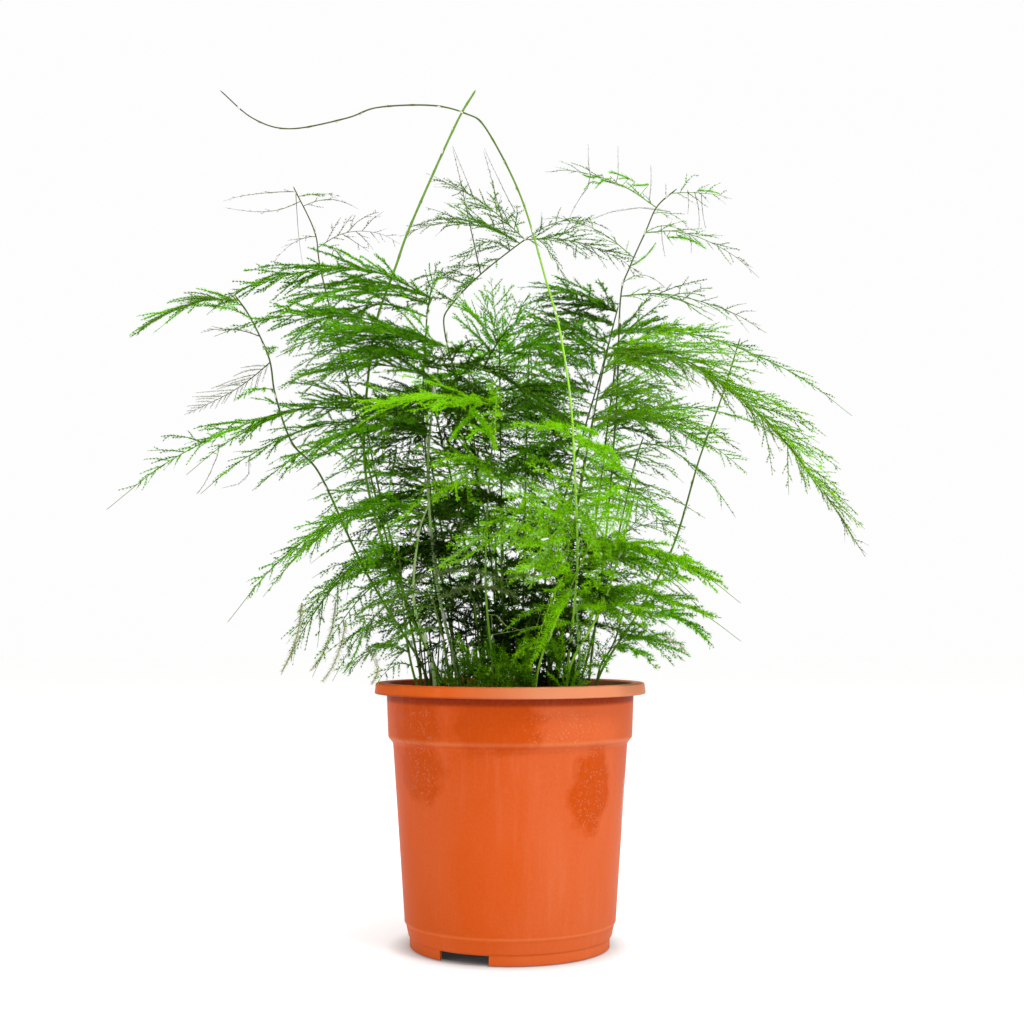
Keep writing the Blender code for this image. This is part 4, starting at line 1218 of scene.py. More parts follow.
# %% Filling sprays
FILLING = read_table("""
shoot_left_fan
  -35.3 288.2  -109.4 280 30  44 8 25
  -36.2 283.6  -94.9 284.2 -20  28 5 16
  -37.1 278.2  -101.7 267.7 10  44 10 25
  -36.2 289  -100 290 20  22 6 12  band
  -36.2 286  -84 284 34  26 6 15  band
  -31 165  -66 156 -10  34 5 38  shade
  -33 186  -70 178 -6  34 5 38  shade
  -28 146  -58 134 0  30 5 38  shade
shoot_left_tier
  -29.4 265.4  -99.4 255.4 20  40 8 25
  -31.6 255.4  -81.4 259.9 -20  36 6 20
  -31.6 258.6  -94.9 244.9 40  40 8 25
  -33 228.9  -74.6 210.7 50  44 10 30
  -29.4 264  -106 262 40  28 8 22
  -31 258  -100 250 44  28 8 22
  -35 226  -101 251 34  30 2 14  band
shoot_left_tall
  -114.8 267.7  -140.1 272.2 40  12 2 10  grey
  -118 279  -152 281 40  12 4 10  band
shoot_upper_twig
  4.5 314.2  -44.3 321.9 20  18 6 15
  -18.1 297.3  -28.9 282.7 40  10 2 0
  9 315.6  46.1 319.2 0  16 6 15
  9 314.6  28 288.2 -20  10 6 0
  -14.5 299.6  -26.2 357.5 -44  7 0 60  grey
  -2.3 311  -12.2 356.6 -38  8 0 60  grey
  -21 236  -54 227 0  36 5 42  shade
  -16 214  -50 204 4  36 5 42  shade
  -12 190  -48 180 0  38 5 42  shade
  -10 172  -46 160 6  38 5 42  shade
  -8 150  -40 138 10  34 5 42  shade
  -7 138  24 128 10  34 5 -42  shade
  -9 183  -42 172 10  36 5 42  shade
shoot_centre_tuft
  -5.9 270  -13.6 291.8 0  22 0 60
  -5 265.4  4.5 288.2 10  20 0 60
  -5 258.6  -24.9 280 0  24 0 50
  -5 262  38 254 -4  40 6 -42  light
  -5 262  -26 286 8  30 4 50
  -5 266  14 281 6  26 4 -50
  -5 238  -38 232 10  38 5 42  shade
  -5 244  32 236 8  40 5 -42  mid
  -5 236  30 228 20  40 5 -42  mid
  -4.5 232  30 224 -14  38 5 -42  shade
  -4.5 214  29 203 -6  38 5 -42  shade
  -4.5 196  -38 186 0  38 5 42  shade
  -4.5 178  28 168 6  38 5 -42  shade
  -4.5 206  30 197 10  38 5 -42  mid
  -4.5 187  -38 178 12  36 5 42  shade
shoot_dark_top
  40.7 267.7  4.5 270 30  40 5 20
  39.8 260.8  67.8 254 30  36 5 -20
  40 252  16 258 10  30 4 42  light
  38 244  4 240 0  40 5 42  mid
  34 230  2 224 4  40 5 42  mid
  38 240  68 232 -10  36 6 -40  mid
  42 256  76 250 -14  36 6 -36  light
  43 262  14 262 10  34 5 36  light
  48 282  12 284 10  18 2 10  dusk
  47 280  10 287 20  16 3 14  dusk
  46 277  14 279 18  16 3 14  dusk
  46 274  20 272 24  22 3 20
  44 264  72 260 10  30 5 -20  light
  30 215  -4 206 0  38 5 42  shade
  22 190  -10 178 4  38 5 42  shade
  17 162  52 150 0  38 5 -42  shade
  33 222  2 212 6  38 5 42  mid
shoot_centre_dark
  -33 240.3  -70.1 228.9 50  44 5 30
  -31.6 242.6  -4.5 228.9 60  40 6 -30
  -31.6 241.7  -0.9 229.8 44  40 4 -40  deep
  -32.5 235.3  0.9 218.9 40  40 4 -40  deep
  -32.5 228.9  -5.4 208.9 40  36 4 -35  deep
  -33 224.4  -62.4 211.6 50  36 4 30  deep
  -26 200  -58 190 30  32 6 36  deep
  -20 172  -54 163 26  34 6 38  shade
  -17 152  -46 141 26  30 6 38  shade
  -14 134  -38 122 30  28 6 38  shade
  -19 166  -48 156 20  32 5 40  deep
shoot_centre_lime
  -9 210.2  -36.2 197 80  36 6 35  mid
  -8 114  -26 126 44  26 3 60  moss
  -8 112  -34 116 40  22 3 60  moss
shoot_left_long
  -68.7 242.6  -145.5 208.9 50  30 8 25  dense
shoot_right_arch
  44 262  132 214 26  36 15 -28  dense
  37 234  66 224 26  30 5 -28  mid
  42 254  78 246 30  36 8 -30  light
  40 245  72 236 36  34 6 -30  light
  34 214  70 206 30  30 6 -30  mid
  38 240  66 230 30  28 6 -25  mid
shoot_right_high
  43 226  70 219 0  30 5 -28  shade
  47 262  18 256 -6  32 4 42  mid
  44 240  80 246 -26  34 5 -36  light
  46 254  84 260 -20  30 5 -30  light
  42 214  78 204 -20  34 6 -36  mid
  44 230  126 222 -10  40 12 -30  dense
  45.6 246  78 238 10  30 6 -25  light
shoot_left_low
  -41 182  -66 168 60  26 5 24
  -38 190  -104 162 66  30 12 24
shoot_left_droop
  -50 168  -94 142 50  30 9 26
  -45 128  -74 118 30  26 6 30
  -44 122  -60 113 36  20 4 30  mid
  -46 138  -78 128 36  26 6 28
shoot_front
  12.4 112  -12 121 48  26 5 62  moss
  12.4 110  -16 112 48  22 4 62  moss
  12.4 110  3 128 46  24 2 62  moss
shoot_right_lime
  27 116  14 132 44  24 3 60  moss
  27 114  44 124 40  24 4 -60  moss
shoot_right_bright
  28 152  52 138 40  30 5 -40  mid
  30 166  84 152 58  34 8 -24
  27.6 148  74 138 56  30 6 -24
  27.6 138  60 130 30  26 5 -30  mid
shoot_right_low
  46 131  78 124 34  24 6 -20
shoot_right_mid
  39 145  70 146 -10  28 5 -38  shade
""")
# The tones of the kinds are partly painted light and shade: shade, deep and dusk are dark as
# painted shade deep in the bush, while mid and light follow how lit a spray is.
FILLING_KINDS = {
    "plain": {},
    "mid": dict(tone=0.5),
    "light": dict(tone=0.68),
    "dusk": dict(tone=0.12, needles=7.5, needle=2.4, blade=0.46, bear=9.0),
    "shade": dict(tone=0.10, needles=4.5, needle=2.6, blade=0.62),
    "deep": dict(tone=0.45, needles=5.0, needle=2.4, blade=0.60),
    "dense": dict(needles=7.0),
    "band": dict(needles=8.0, needle=2.5, lean=27.0, wide=0.55, angle=25.0),
    "moss": dict(tone=0.30, needles=6.0, needle=2.8, blade=0.34, lean=50.0, small_gap=2.2,
                 bear=7.0, wide=1.0, open=1.0, paint=BRIGHT, sag=0.0),
    "grey": dict(tone=0.35, twig=0.75, needles=3.4, needle=1.3, blade=0.26, tuft=0.6,
                 core=0.6, gap=2.1, bear=99.0, under=0.5),
}


def filling_sprays(shoot):
    """Runs, widths, tilts and kinds of the extra sprays of a shoot."""
    for kind, numbers in FILLING.get(shoot.name, []):
        across, up, *tip, width, arch, tilt = numbers
        root = shoot.stem[nearest_index(shoot.stem, across, up)]
        run = smooth_path(spray_knots(root, seen(*tip), arch))
        yield run, width, math.radians(tilt), FILLING_KINDS[kind]


print("filling sprays:", sum(len(rows) for rows in FILLING.values()))

# %% [markdown]
# ## Single brushes
#
# Some twigs stand out one by one in the picture: fine grey ones above the bush, brushes
# that hang over the rim, a few bright ones in front, an old olive one inside. Each is one
# strand, so a line of the table only gives three seen points and the brush's kind. A thin
# thread joins it to the twig of its own shoot that is seen nearest, so none floats.

# %% Table of single brushes
BRUSHES = read_table("""
shoot_upper_twig
  -14.5 328.3 -44  -20.3 342.9 -44  -26.2 357.5 -44  grey
  2.3 327 -38  -4.5 340.6 -38  -11.8 356.6 -38  grey
  -23.5 337.4 -46  -31.2 342 -46  -38.4 345.2 -46  grey
shoot_right_tall
  36.2 345.7 32  35.7 352 32  35.7 358.4 32  grey
  49.3 344.7 30  49.3 351.1 30  49.3 357.5 30  grey
  63.3 332 24  64.2 340.2 24  64.2 348.8 24  grey
  71 333.8 22  71 337.4 22  71 340.2 22  grey
  80.9 337.4 32  81.4 332 34  80.9 326.5 36  grey
  84.1 336.5 34  85.9 328.3 37  85.9 319.7 40  grey
  87.2 335.6 36  87.7 327.4 40  89 319.7 44  grey
  68.7 321 12  69.2 313.7 12  70.5 306.4 14  grey
  81.4 317.4 10  82.3 312.8 10  82.3 308.3 12  grey
  35.3 338.4 34  30.7 332 36  27.1 324.7 38  grey
  72.8 327.4 18  53.3 328.8 8  33.9 322.4 0  grey
  42 344.7 34  37.5 343.4 34  33 344.7 36  green
  41.1 340.2 34  37.1 341.1 34  33.9 337.4 36  green
  54.2 342.9 30  49.7 344.7 30  45.7 345.7 30  green
  63.3 340.2 26  59.7 339.7 26  56 339.7 26  green
  54.7 302.3 10  61 306.4 10  66 312.8 12  green
  46.1 342.9 32  42 341.6 32  38.9 338.4 34  green
  57 341.1 28  53.3 342.9 28  49.3 342.5 30  green
  85.9 337 40  91.3 337 42  95.8 335.6 44  green
  71.4 315.6 16  78.6 315.1 14  86.8 312.8 12  green
  75.9 316.5 14  83.2 313.7 12  88.6 310.5 10  green
shoot_left_droop
  -93.1 149.6 58  -95.4 133.2 64  -101.7 119 68  pale
  -77.7 151.4 60  -80.9 133.2 66  -88.6 119.5 72  pale
  -73.2 141.4 66  -76.8 125.9 70  -83.6 114.5 74  pale
shoot_left_pale
  -65.1 141.4 66  -67.8 129.5 70  -74.1 118.6 74  green
  -62.4 128.6 72  -58.8 120.4 74  -61.9 113.1 76  pale
  -31.6 151.4 44  -13.6 156.9 48  4.5 151.4 46  olive
  -42 160 40  -22 164 44  -4 160 44  olive
shoot_left_long
  -131.5 216.2 50  -136.1 205.2 52  -140.6 198.4 54  grey
  -117.5 214.3 40  -118.9 205.2 44  -129.3 201.1 46  grey
shoot_centre_lime
  -18.1 237.1 92  -10.8 228.9 94  -6.3 218.4 95  lime
  -16.3 236.2 94  -21.7 229.8 96  -27.1 222.5 98  lime
  -6 144 70  -2.4 139.6 71  4.5 137.4 72  tendril
  4.5 137.4 72  11.5 138.6 71  14 147 70  tendril
  -2 160 42  10 162 46  24 156 46  olive
shoot_front
  25 154 90  18.6 141 94  9 121 98  bottle
  -12.2 180.1 96  -21.7 172.8 98  -31.6 166.4 100  frost
  4.5 185.6 104  -0.9 179.7 106  -5.4 175.6 108  frost
  13.6 183.3 104  8.1 177.4 106  3.2 172.8 108  frost
  17.2 173.3 104  11.3 168.3 106  5.4 164.2 108  frost
  19 166 102  12.7 160.5 104  6.8 158.2 106  frost
  8.1 197 92  -11.8 175.1 98  -35.3 164.6 100  fresh
  25.3 179.7 96  15.4 176 102  4.1 175.6 106  fresh
  26.2 171.5 96  16.3 166.9 102  5.4 166 106  fresh
  27.1 166 94  19 161.9 98  9.5 160.5 102  fresh
  29.4 162.8 92  22.6 156.9 96  15.8 155 98  fresh
shoot_right_lime
  40 225 66  27 229 74  14 228 82  lime
  46 218 60  38 220 66  26 219 72  lime
  25 109 42  21 114 47  16.8 118.4 51  spark
  25 109 42  23.6 115 46  21 120.8 50  spark
  25 109 42  25.8 115.6 46  25.2 121 50  spark
  25 109 42  28.2 114.6 47  30 118.8 50  spark
  25 109 42  30 112.6 46  35 114.4 50  spark
  30.6 107 40  30.6 130 43  29.2 153 47  frost
shoot_right_low
  68.7 134.5 44  74 132 45  78.6 127.2 46  pale
""")
BRUSH_KINDS = {
    "grey": dict(tuft=0.6, needles=2.4, needle=1.3, blade=0.24, core=0.7, tone=0.3, dry=0.85),
    "green": dict(tuft=0.6, needles=9.0, needle=2.5, blade=0.34, core=0.9, tone=0.75, dry=0.0),
    "pale": dict(tuft=0.3, needles=14.0, needle=2.5, blade=0.18, lean=66.0, puff=1.0, core=0.9,
                 tone=0.35, dry=0.8, paint=PALE),
    "tendril": dict(needles=0.6, needle=1.0, core=2.1, tone=0.0, dry=0.45, paint=PALE),
    "spark": dict(tuft=0.6, needles=11.0, needle=2.6, blade=0.34, lean=34.0, tone=0.95,
                  dry=0.0, paint=BRIGHT),
    "frost": dict(tuft=0.6, needles=13.0, needle=2.6, blade=0.32, lean=44.0, tone=0.75,
                  dry=0.0, paint=FROSTED),
    "bottle": dict(tuft=0.9, needles=15.0, needle=3.7, blade=0.30, lean=62.0, puff=1.0,
                   core=1.3, tone=0.9, dry=0.0, spread=0.10, paint=BRIGHT),
    "lime": dict(tuft=0.6, needles=24.0, needle=2.5, blade=0.30, lean=58.0, puff=1.0,
                 tone=0.95, dry=0.0),
    "fresh": dict(tuft=0.6, needles=8.5, needle=3.0, blade=0.32, lean=46.0, tone=0.85, dry=0.0),
    "olive": dict(tuft=0.6, needles=9.0, needle=3.6, blade=0.40, lean=56.0, core=1.2, tone=0.8,
                  dry=0.72),
}
THREAD_RADIUS = 0.16
THREAD_POINTS = 4


def add_thread(growth, start, end, look):
    """Adds the thin thread that joins a brush to its shoot."""
    path = np.linspace(start, end, THREAD_POINTS)
    radii = np.full((1, THREAD_POINTS), THREAD_RADIUS)
    tubes(growth, path[None], radii, STRAND_SIDES, look["tone"] * BARK_SHADE, look["dry"],
          look["paint"])


def add_brushes(growth, name, look, twigs, draw):
    """Adds the single brushes of one shoot, each joined to the twig seen nearest to it."""
    for kind, numbers in BRUSHES.get(name, []):
        own = {**look, **BRUSH_KINDS[kind]}
        joint = twigs[nearest_index(twigs, *numbers[:2])]
        shift = -joint[1] - numbers[2]
        root, middle, tip = (seen(across, up, depth + shift) for across, up, depth in (
            numbers[:3], numbers[3:6], numbers[6:]))
        add_thread(growth, joint, root, own)
        strand = np.stack([root, 2 * middle - 0.5 * (root + tip), tip])[None]
        normal = unit_rows(np.cross(tip - root, [0.0, 1.0, 0.0]))[None]
        dress_strands(growth, strand, normal, own, np.array([own["tone"]]),
                      np.array([own["dry"]]), np.array([NO_TAIL]), np.array([1.0]), draw)


print("single brushes:", sum(len(rows) for rows in BRUSHES.values()))

# %% [markdown]
# ## Stems, joints and scales
#
# A stem is a wiry tube that thins upwards. Every couple of centimetres it has a joint, a
# slight swelling with a dry papery scale that points up. Low down on the pale stems those
# scales are what catches the eye. The tube's radius gets a small bump at each joint, and
# the scale is a thin curved spike of sixteen triangles.

# %% Stems
STEM_STEP = 1.5
STEM_SIDES = 6
FIRST_JOINT = (12, 20)
SWELLING, SWELLING_LENGTH = 0.22, 1.3
SCALE_LENGTHS = (2.0, 3.6)
SCALE_STANDS = (-0.3, 0.30, 0.75)
SCALE_WIDE, SCALE_NARROW = 0.85, 0.42
# A stem changes from its lower tone to its upper one between these shares of its length.
FADE_SHARES = [0.38, 0.62]


def add_scales(growth, points, length, joints, look, draw):
    """Adds a papery scale at each joint of a stem."""
    feet, ways = along_run(points, joints)
    spin = unit_rows(np.cross(ways, draw.normal(size=(len(joints), 3))))
    base = np.interp(joints, [0, length], look["stem"])[:, None]
    size = (draw.uniform(*SCALE_LENGTHS, len(joints)) * look["scale"])[:, None]
    start = feet + spin * base * 0.7 + ways * SCALE_STANDS[0]
    middle = feet + spin * (base + SCALE_STANDS[1]) + ways * size * 0.5
    tip = feet + spin * (base + SCALE_STANDS[2]) + ways * size
    wide = SCALE_WIDE if look["waxy"] else SCALE_NARROW
    widths = np.broadcast_to([wide, wide * 0.85, 0.05], (len(joints), 3))
    tubes(growth, np.stack([start, middle, tip], axis=1), widths, 4, 0.5, 1.0, SCALE)


def grow_stem(growth, points, look, draw):
    """Adds a stem with its joints and scales."""
    length = float(np.linalg.norm(np.diff(points, axis=0), axis=1).sum())
    marks = np.linspace(0, length, int(length / STEM_STEP) + 2)
    marks[-1] = length * 0.99999
    path, _ = along_run(points, marks)
    smooth = path.copy()
    smooth[1:-1] = (path[:-2] + 2 * path[1:-1] + path[2:]) / 4
    joints = np.arange(draw.uniform(*FIRST_JOINT), length - 4, look["joint_gap"])
    joints = joints + draw.uniform(-3, 3, len(joints))
    radii = np.interp(marks, [0, length], look["stem"])
    nearest = np.abs(marks[:, None] - joints[None, :]).min(axis=1)
    radii = radii * (1 + SWELLING * np.exp(-(nearest / SWELLING_LENGTH) ** 2))
    radii[-1] = look["stem"][1] * 0.5
    high = marks / length
    dry = np.clip(look["stem_dry"] + look["stem_tip_dry"] * np.clip(high * 2 - 1, 0, 1), 0, 1)
    tone = look["stem_tone"] * np.interp(high, FADE_SHARES, [1.0, look["stem_fade"]])
    tubes(growth, smooth[None], radii[None], STEM_SIDES, tone[None], dry[None],
          PALE if look["waxy"] else STEM)
    add_scales(growth, points, length, joints, look, draw)


print("a stem has a ring every", STEM_STEP, "mm")

# %% [markdown]
# ## Bare stalks at the foot
#
# Round the foot of the bush stand the remains of older twigs: thin, brown, without needles.
# They make the tangle that fills the picture just above the rim. Each is one thin strand
# from the soil, leaning a little, so they cost next to nothing.

# %% Bare stalks
STALK_POINTS = 6
STALK_REACH = 38.0
STALK_HEIGHTS = (16, 50)
STALK_RADII = (0.42, 0.16)
STALK_LEAN, STALK_BOW = 0.10, 0.04


def add_stalks(growth, count, draw):
    """Adds thin bare stalks that stand in the soil."""
    for _ in range(count):
        angle, far = draw.uniform(0, TAU), STALK_REACH * math.sqrt(draw.uniform(0.02, 1.0))
        root = np.array([far * math.cos(angle), far * math.sin(angle), SOIL_TOP - 1.0])
        height = draw.uniform(*STALK_HEIGHTS)
        lean = np.array([draw.normal(0, STALK_LEAN), draw.normal(0, STALK_LEAN), 1.0])
        tip = root + lean * height
        middle = 0.5 * (root + tip) + draw.normal(0, STALK_BOW, 3) * height
        line = np.repeat(np.stack([root, middle, tip])[None], STALK_POINTS, axis=0)
        path, _ = bent(line, np.linspace(0, 1, STALK_POINTS))
        radii = np.linspace(*STALK_RADII, STALK_POINTS) * draw.uniform(0.8, 1.5)
        tubes(growth, path[None], radii[None], 4, draw.uniform(0.0, 0.5),
              draw.uniform(0.3, 0.9), STEM)


print("stalks stand up to", STALK_HEIGHTS[1], "mm high")

# %% [markdown]
# ## The green of the needles
#
# Fresh tips are yellow-green, older needles deep green, and the ends dry to grey-brown. The two
# numbers stored on each corner say where a needle lies between those. The tone is also painted
# light and shade: low for sprays deep in the bush, high for lit ones. All the foliage materials
# share this mixing, so it is one shader node group with named inputs, placed in each material
# with its own colours. A fine noise keeps neighbours from matching.

# %% Shared colour group
COLOUR, VALUE = "NodeSocketColor", "NodeSocketFloat"
MOTTLE_SCALE = 420.0
GREEN_ROUGHNESS, DRY_ROUGHNESS = 0.42, 0.8


def new_group(name, inputs, outputs):
    """A node group with named inputs and outputs, and its two nodes that hold them."""
    group = bpy.data.node_groups.new(name, "ShaderNodeTree")
    for way, sockets in (("INPUT", inputs), ("OUTPUT", outputs)):
        for label, kind in sockets.items():
            group.interface.new_socket(name=label, in_out=way, socket_type=kind)
    return group, add_node(group, "NodeGroupInput"), add_node(group, "NodeGroupOutput")


def noise_at(tree, place, scale, detail):
    """A noise value at a place."""
    node = add_node(tree, "ShaderNodeTexNoise", {
        "Vector": place, "Scale": scale, "Detail": detail})
    return node.outputs["Fac"]


leaf_colour, given, result = new_group(
    "leaf_colour",
    {"Deep": COLOUR, "Fresh": COLOUR, "Dry": COLOUR,
     "Tone": VALUE, "Dryness": VALUE, "Mottle": VALUE},
    {"Colour": COLOUR, "Roughness": VALUE})
leaf_place = add_node(leaf_colour, "ShaderNodeTexCoord").outputs["Object"]
centred = reckoned(leaf_colour, "SUBTRACT", noise_at(leaf_colour, leaf_place, MOTTLE_SCALE, 2.0),
                   0.5)
shade = reckoned(leaf_colour, "MULTIPLY_ADD", centred, given.outputs["Mottle"],
                 given.outputs["Tone"], clamp=True)
green = blended(leaf_colour, shade, given.outputs["Deep"], given.outputs["Fresh"])
set_input(leaf_colour, result.inputs["Colour"],
          blended(leaf_colour, given.outputs["Dryness"], green, given.outputs["Dry"]))
set_input(leaf_colour, result.inputs["Roughness"],
          stretched(leaf_colour, given.outputs["Dryness"], 0.0, 1.0, GREEN_ROUGHNESS,
                    DRY_ROUGHNESS))
print("group:", leaf_colour.name, [item.name for item in leaf_colour.interface.items_tree])

# %% [markdown]
# ## Materials for needles, stems and scales
#
# Needles are so thin that light comes through them, and that is what makes the sprays
# glow. A translucent part is mixed with the plain surface for that. Stems are waxy and let
# nothing through. The papery scales are pale and matt.

# %% Foliage materials
LEAF_SPECULAR = 0.06
GREY_TWIG = (0.15, 0.145, 0.075)
BROWN_TWIG = (0.10, 0.065, 0.020)


def foliage_material(name, deep, fresh, dry, mottle, glow):
    """A material that reads tone and dryness. glow is the share that light shines through."""
    material = bpy.data.materials.new(name)
    material.use_nodes = True
    tree = material.node_tree
    tone, dryness = (add_node(tree, "ShaderNodeAttribute", attribute_name=label).outputs["Fac"]
                     for label in ("tone", "dry"))
    mix = add_node(tree, "ShaderNodeGroup", {
        "Deep": (*deep, 1.0), "Fresh": (*fresh, 1.0), "Dry": (*dry, 1.0),
        "Tone": tone, "Dryness": dryness, "Mottle": mottle}, node_tree=leaf_colour)
    shader = tree.nodes["Principled BSDF"]
    shader.inputs["Specular IOR Level"].default_value = LEAF_SPECULAR
    set_input(tree, shader.inputs["Base Color"], mix.outputs["Colour"])
    set_input(tree, shader.inputs["Roughness"], mix.outputs["Roughness"])
    if glow > 0:
        through = add_node(tree, "ShaderNodeBsdfTranslucent", {"Color": mix.outputs["Colour"]})
        both = add_node(tree, "ShaderNodeMixShader", {
            "Fac": glow, 1: shader.outputs["BSDF"], 2: through.outputs["BSDF"]})
        set_input(tree, tree.nodes["Material Output"].inputs["Surface"], both.outputs["Shader"])
    return material


# The dark needles are a shaded copy of the green ones: their colours are painted shade for shoots
# deep in the bush.
NEEDLE_MATERIALS = {
    "foliage_bright": foliage_material(
        "bright_needles", (0.028, 0.14, 0.001), (0.40, 0.89, 0.003), GREY_TWIG, 0.6, 0.40),
    "foliage_green": foliage_material(
        "green_needles", (0.021, 0.095, 0.001), (0.28, 0.80, 0.003), GREY_TWIG, 0.6, 0.38),
    "foliage_dark": foliage_material(
        "dark_needles", (0.004, 0.018, 0.0005), (0.10, 0.30, 0.002), BROWN_TWIG, 0.6, 0.30),
    "foliage_twiggy": foliage_material(
        "twiggy_needles", (0.022, 0.085, 0.003), (0.18, 0.55, 0.006), GREY_TWIG, 0.6, 0.34),
}
# The five materials that every shoot has after its own needles, in the order of their names
# in the cell on gathering.
SHARED_MATERIALS = [
    foliage_material("waxy_stem", (0.012, 0.055, 0.003), (0.33, 0.66, 0.05),
                     (0.075, 0.055, 0.025), 0.05, 0.0),
    foliage_material("papery_scale", (0.45, 0.42, 0.30), (0.74, 0.73, 0.64),
                     (0.80, 0.79, 0.72), 0.25, 0.25),
    foliage_material("pale_waxy_stem", (0.18, 0.32, 0.06), (0.40, 0.60, 0.22),
                     (0.36, 0.34, 0.17), 0.10, 0.0),
    foliage_material("frosted_needles", (0.10, 0.30, 0.02), (0.40, 0.72, 0.14),
                     GREY_TWIG, 0.5, 0.30),
    NEEDLE_MATERIALS["foliage_bright"],
]
print("foliage materials:", sorted(material.name for material in bpy.data.materials
                                   if "needles" in material.name))

# %% [markdown]
# ## An ordinary shoot
#
# One set of numbers describes an ordinary shoot: how close its branches are, how long its
# needles, how fresh its tips. All of them are kept together here, so that every shoot that
# looks different in the picture only has to say what changes. Lengths are in millimetres
# and angles in degrees, and most of the rest are shares from 0 to 1.

# %% Ordinary look
ORDINARY = dict(
    # Side branches: the space between them, their angle and its scatter, how wide and how
    # open the spray is, how much of its tip is bare, how they rise, sag and stray out of
    # its plane, and the share of the midrib over which they grow to full length.
    gap=2.1, angle=37.0, uneven=9.0, wide=0.85, open=0.9, bare=0.06, rise=3.0, sag=0.08,
    loose=12.0, eased=0.001,
    # On the lower side: how long they are against the upper ones, and how much drier.
    under=0.85, under_dry=0.05,
    # Smaller branches: how long a side branch has to be to bear them, the space between
    # them, their greatest length and their angle.
    bear=13.0, small_gap=3.2, longest_small=7.0, small_angle=34.0,
    # Needles: how many on a millimetre, the space between tufts, their length and width,
    # their lean, how far they stand out of the plane, and the share that is missing.
    needles=7.0, tuft=1.5, needle=2.1, blade=0.36, lean=32.0, puff=0.8, gaps=0.0,
    # Colour: the tone from deep to fresh and its scatter, how dry the tip is, where the
    # drying starts, how dry the whole is, how worn the ends, and how many end in a tail.
    tone=0.62, spread=0.16, dry=0.5, fresh=0.82, twig=0.0, worn=0.15, tails=0.3,
    # How thick branches and midribs are, and which material the needles take.
    core=1.0, wood=1.0, paint=NEEDLES, leaf="",
    # The stem: its radius at root and tip, its tone, what is left of that high up, how dry
    # it is and how much drier at its tip, whether it is pale, and its joints and scales.
    stem=(0.66, 0.34), stem_tone=0.20, stem_fade=0.75, stem_dry=0.1, stem_tip_dry=0.3,
    waxy=False, joint_gap=21.0, scale=1.0,
    # Lesser sprays: how many, on which stretch of the stem, how long, how far they turn
    # aside, the share that goes anywhere, and how they rise, drop and tilt.
    lesser=8, between=(0.40, 0.96), span=46.0, swing=0.45, stray=0.1, lift=(0.05, 0.2),
    fall=(0.1, 0.45), cant=12.0,
    # Bare stalks at its foot, and what single main sprays change, by their number.
    stalks=0, own={},
)
print("numbers in a look:", len(ORDINARY))

# %% [markdown]
# ## How each shoot differs
#
# Some shoots share a manner of growing: twiggy ones with wide gaps and few needles, those at the
# back and inside, closely grown ones in front, and sprays that face the viewer. The rest is said
# shoot by shoot. A lit shoot has a high tone and a shoot deep inside has a low one, so the tone
# is partly painted light and shade.

# %% Shared manners
TWIGGY = dict(gap=3.2, needles=3.2, needle=1.5, blade=0.34, lean=28.0, gaps=0.25, twig=0.5,
              dry=0.9, fresh=0.2, small_gap=4.0, tails=0.7, tone=0.35, wood=0.75, lesser=3,
              span=34.0, between=(0.8, 0.98), stem=(0.62, 0.30))
BACK = dict(lesser=12, between=(0.15, 0.97), span=54.0, stray=0.2, swing=0.8, blade=0.52,
            needle=2.5, needles=3.6, gap=2.4)
# Shoots inside: their very low tone is painted shade, deep in the bush.
INNER = dict(lesser=40, between=(0.02, 0.78), span=34.0, stray=1.0, tone=0.07, dry=0.1,
             fall=(-0.3, 0.35), blade=0.78, needle=3.2, lean=46.0, needles=3.7, gap=2.4,
             stalks=15)
CLOSE = dict(needle=2.7, lean=42.0, needles=6.5, blade=0.32, bear=9.0, core=0.8,
             small_gap=2.3, spread=0.26)
FACING = dict(open=2.4, angle=50.0, uneven=2.5, wide=0.9, tuft=0.9, gap=3.4, small_gap=1.3,
              longest_small=3.2, small_angle=50.0, loose=3.0, needle=1.7, needles=8.5,
              blade=0.28, bear=5.0, under=1.0)
print("manners:", len((TWIGGY, BACK, INNER, CLOSE, FACING)))

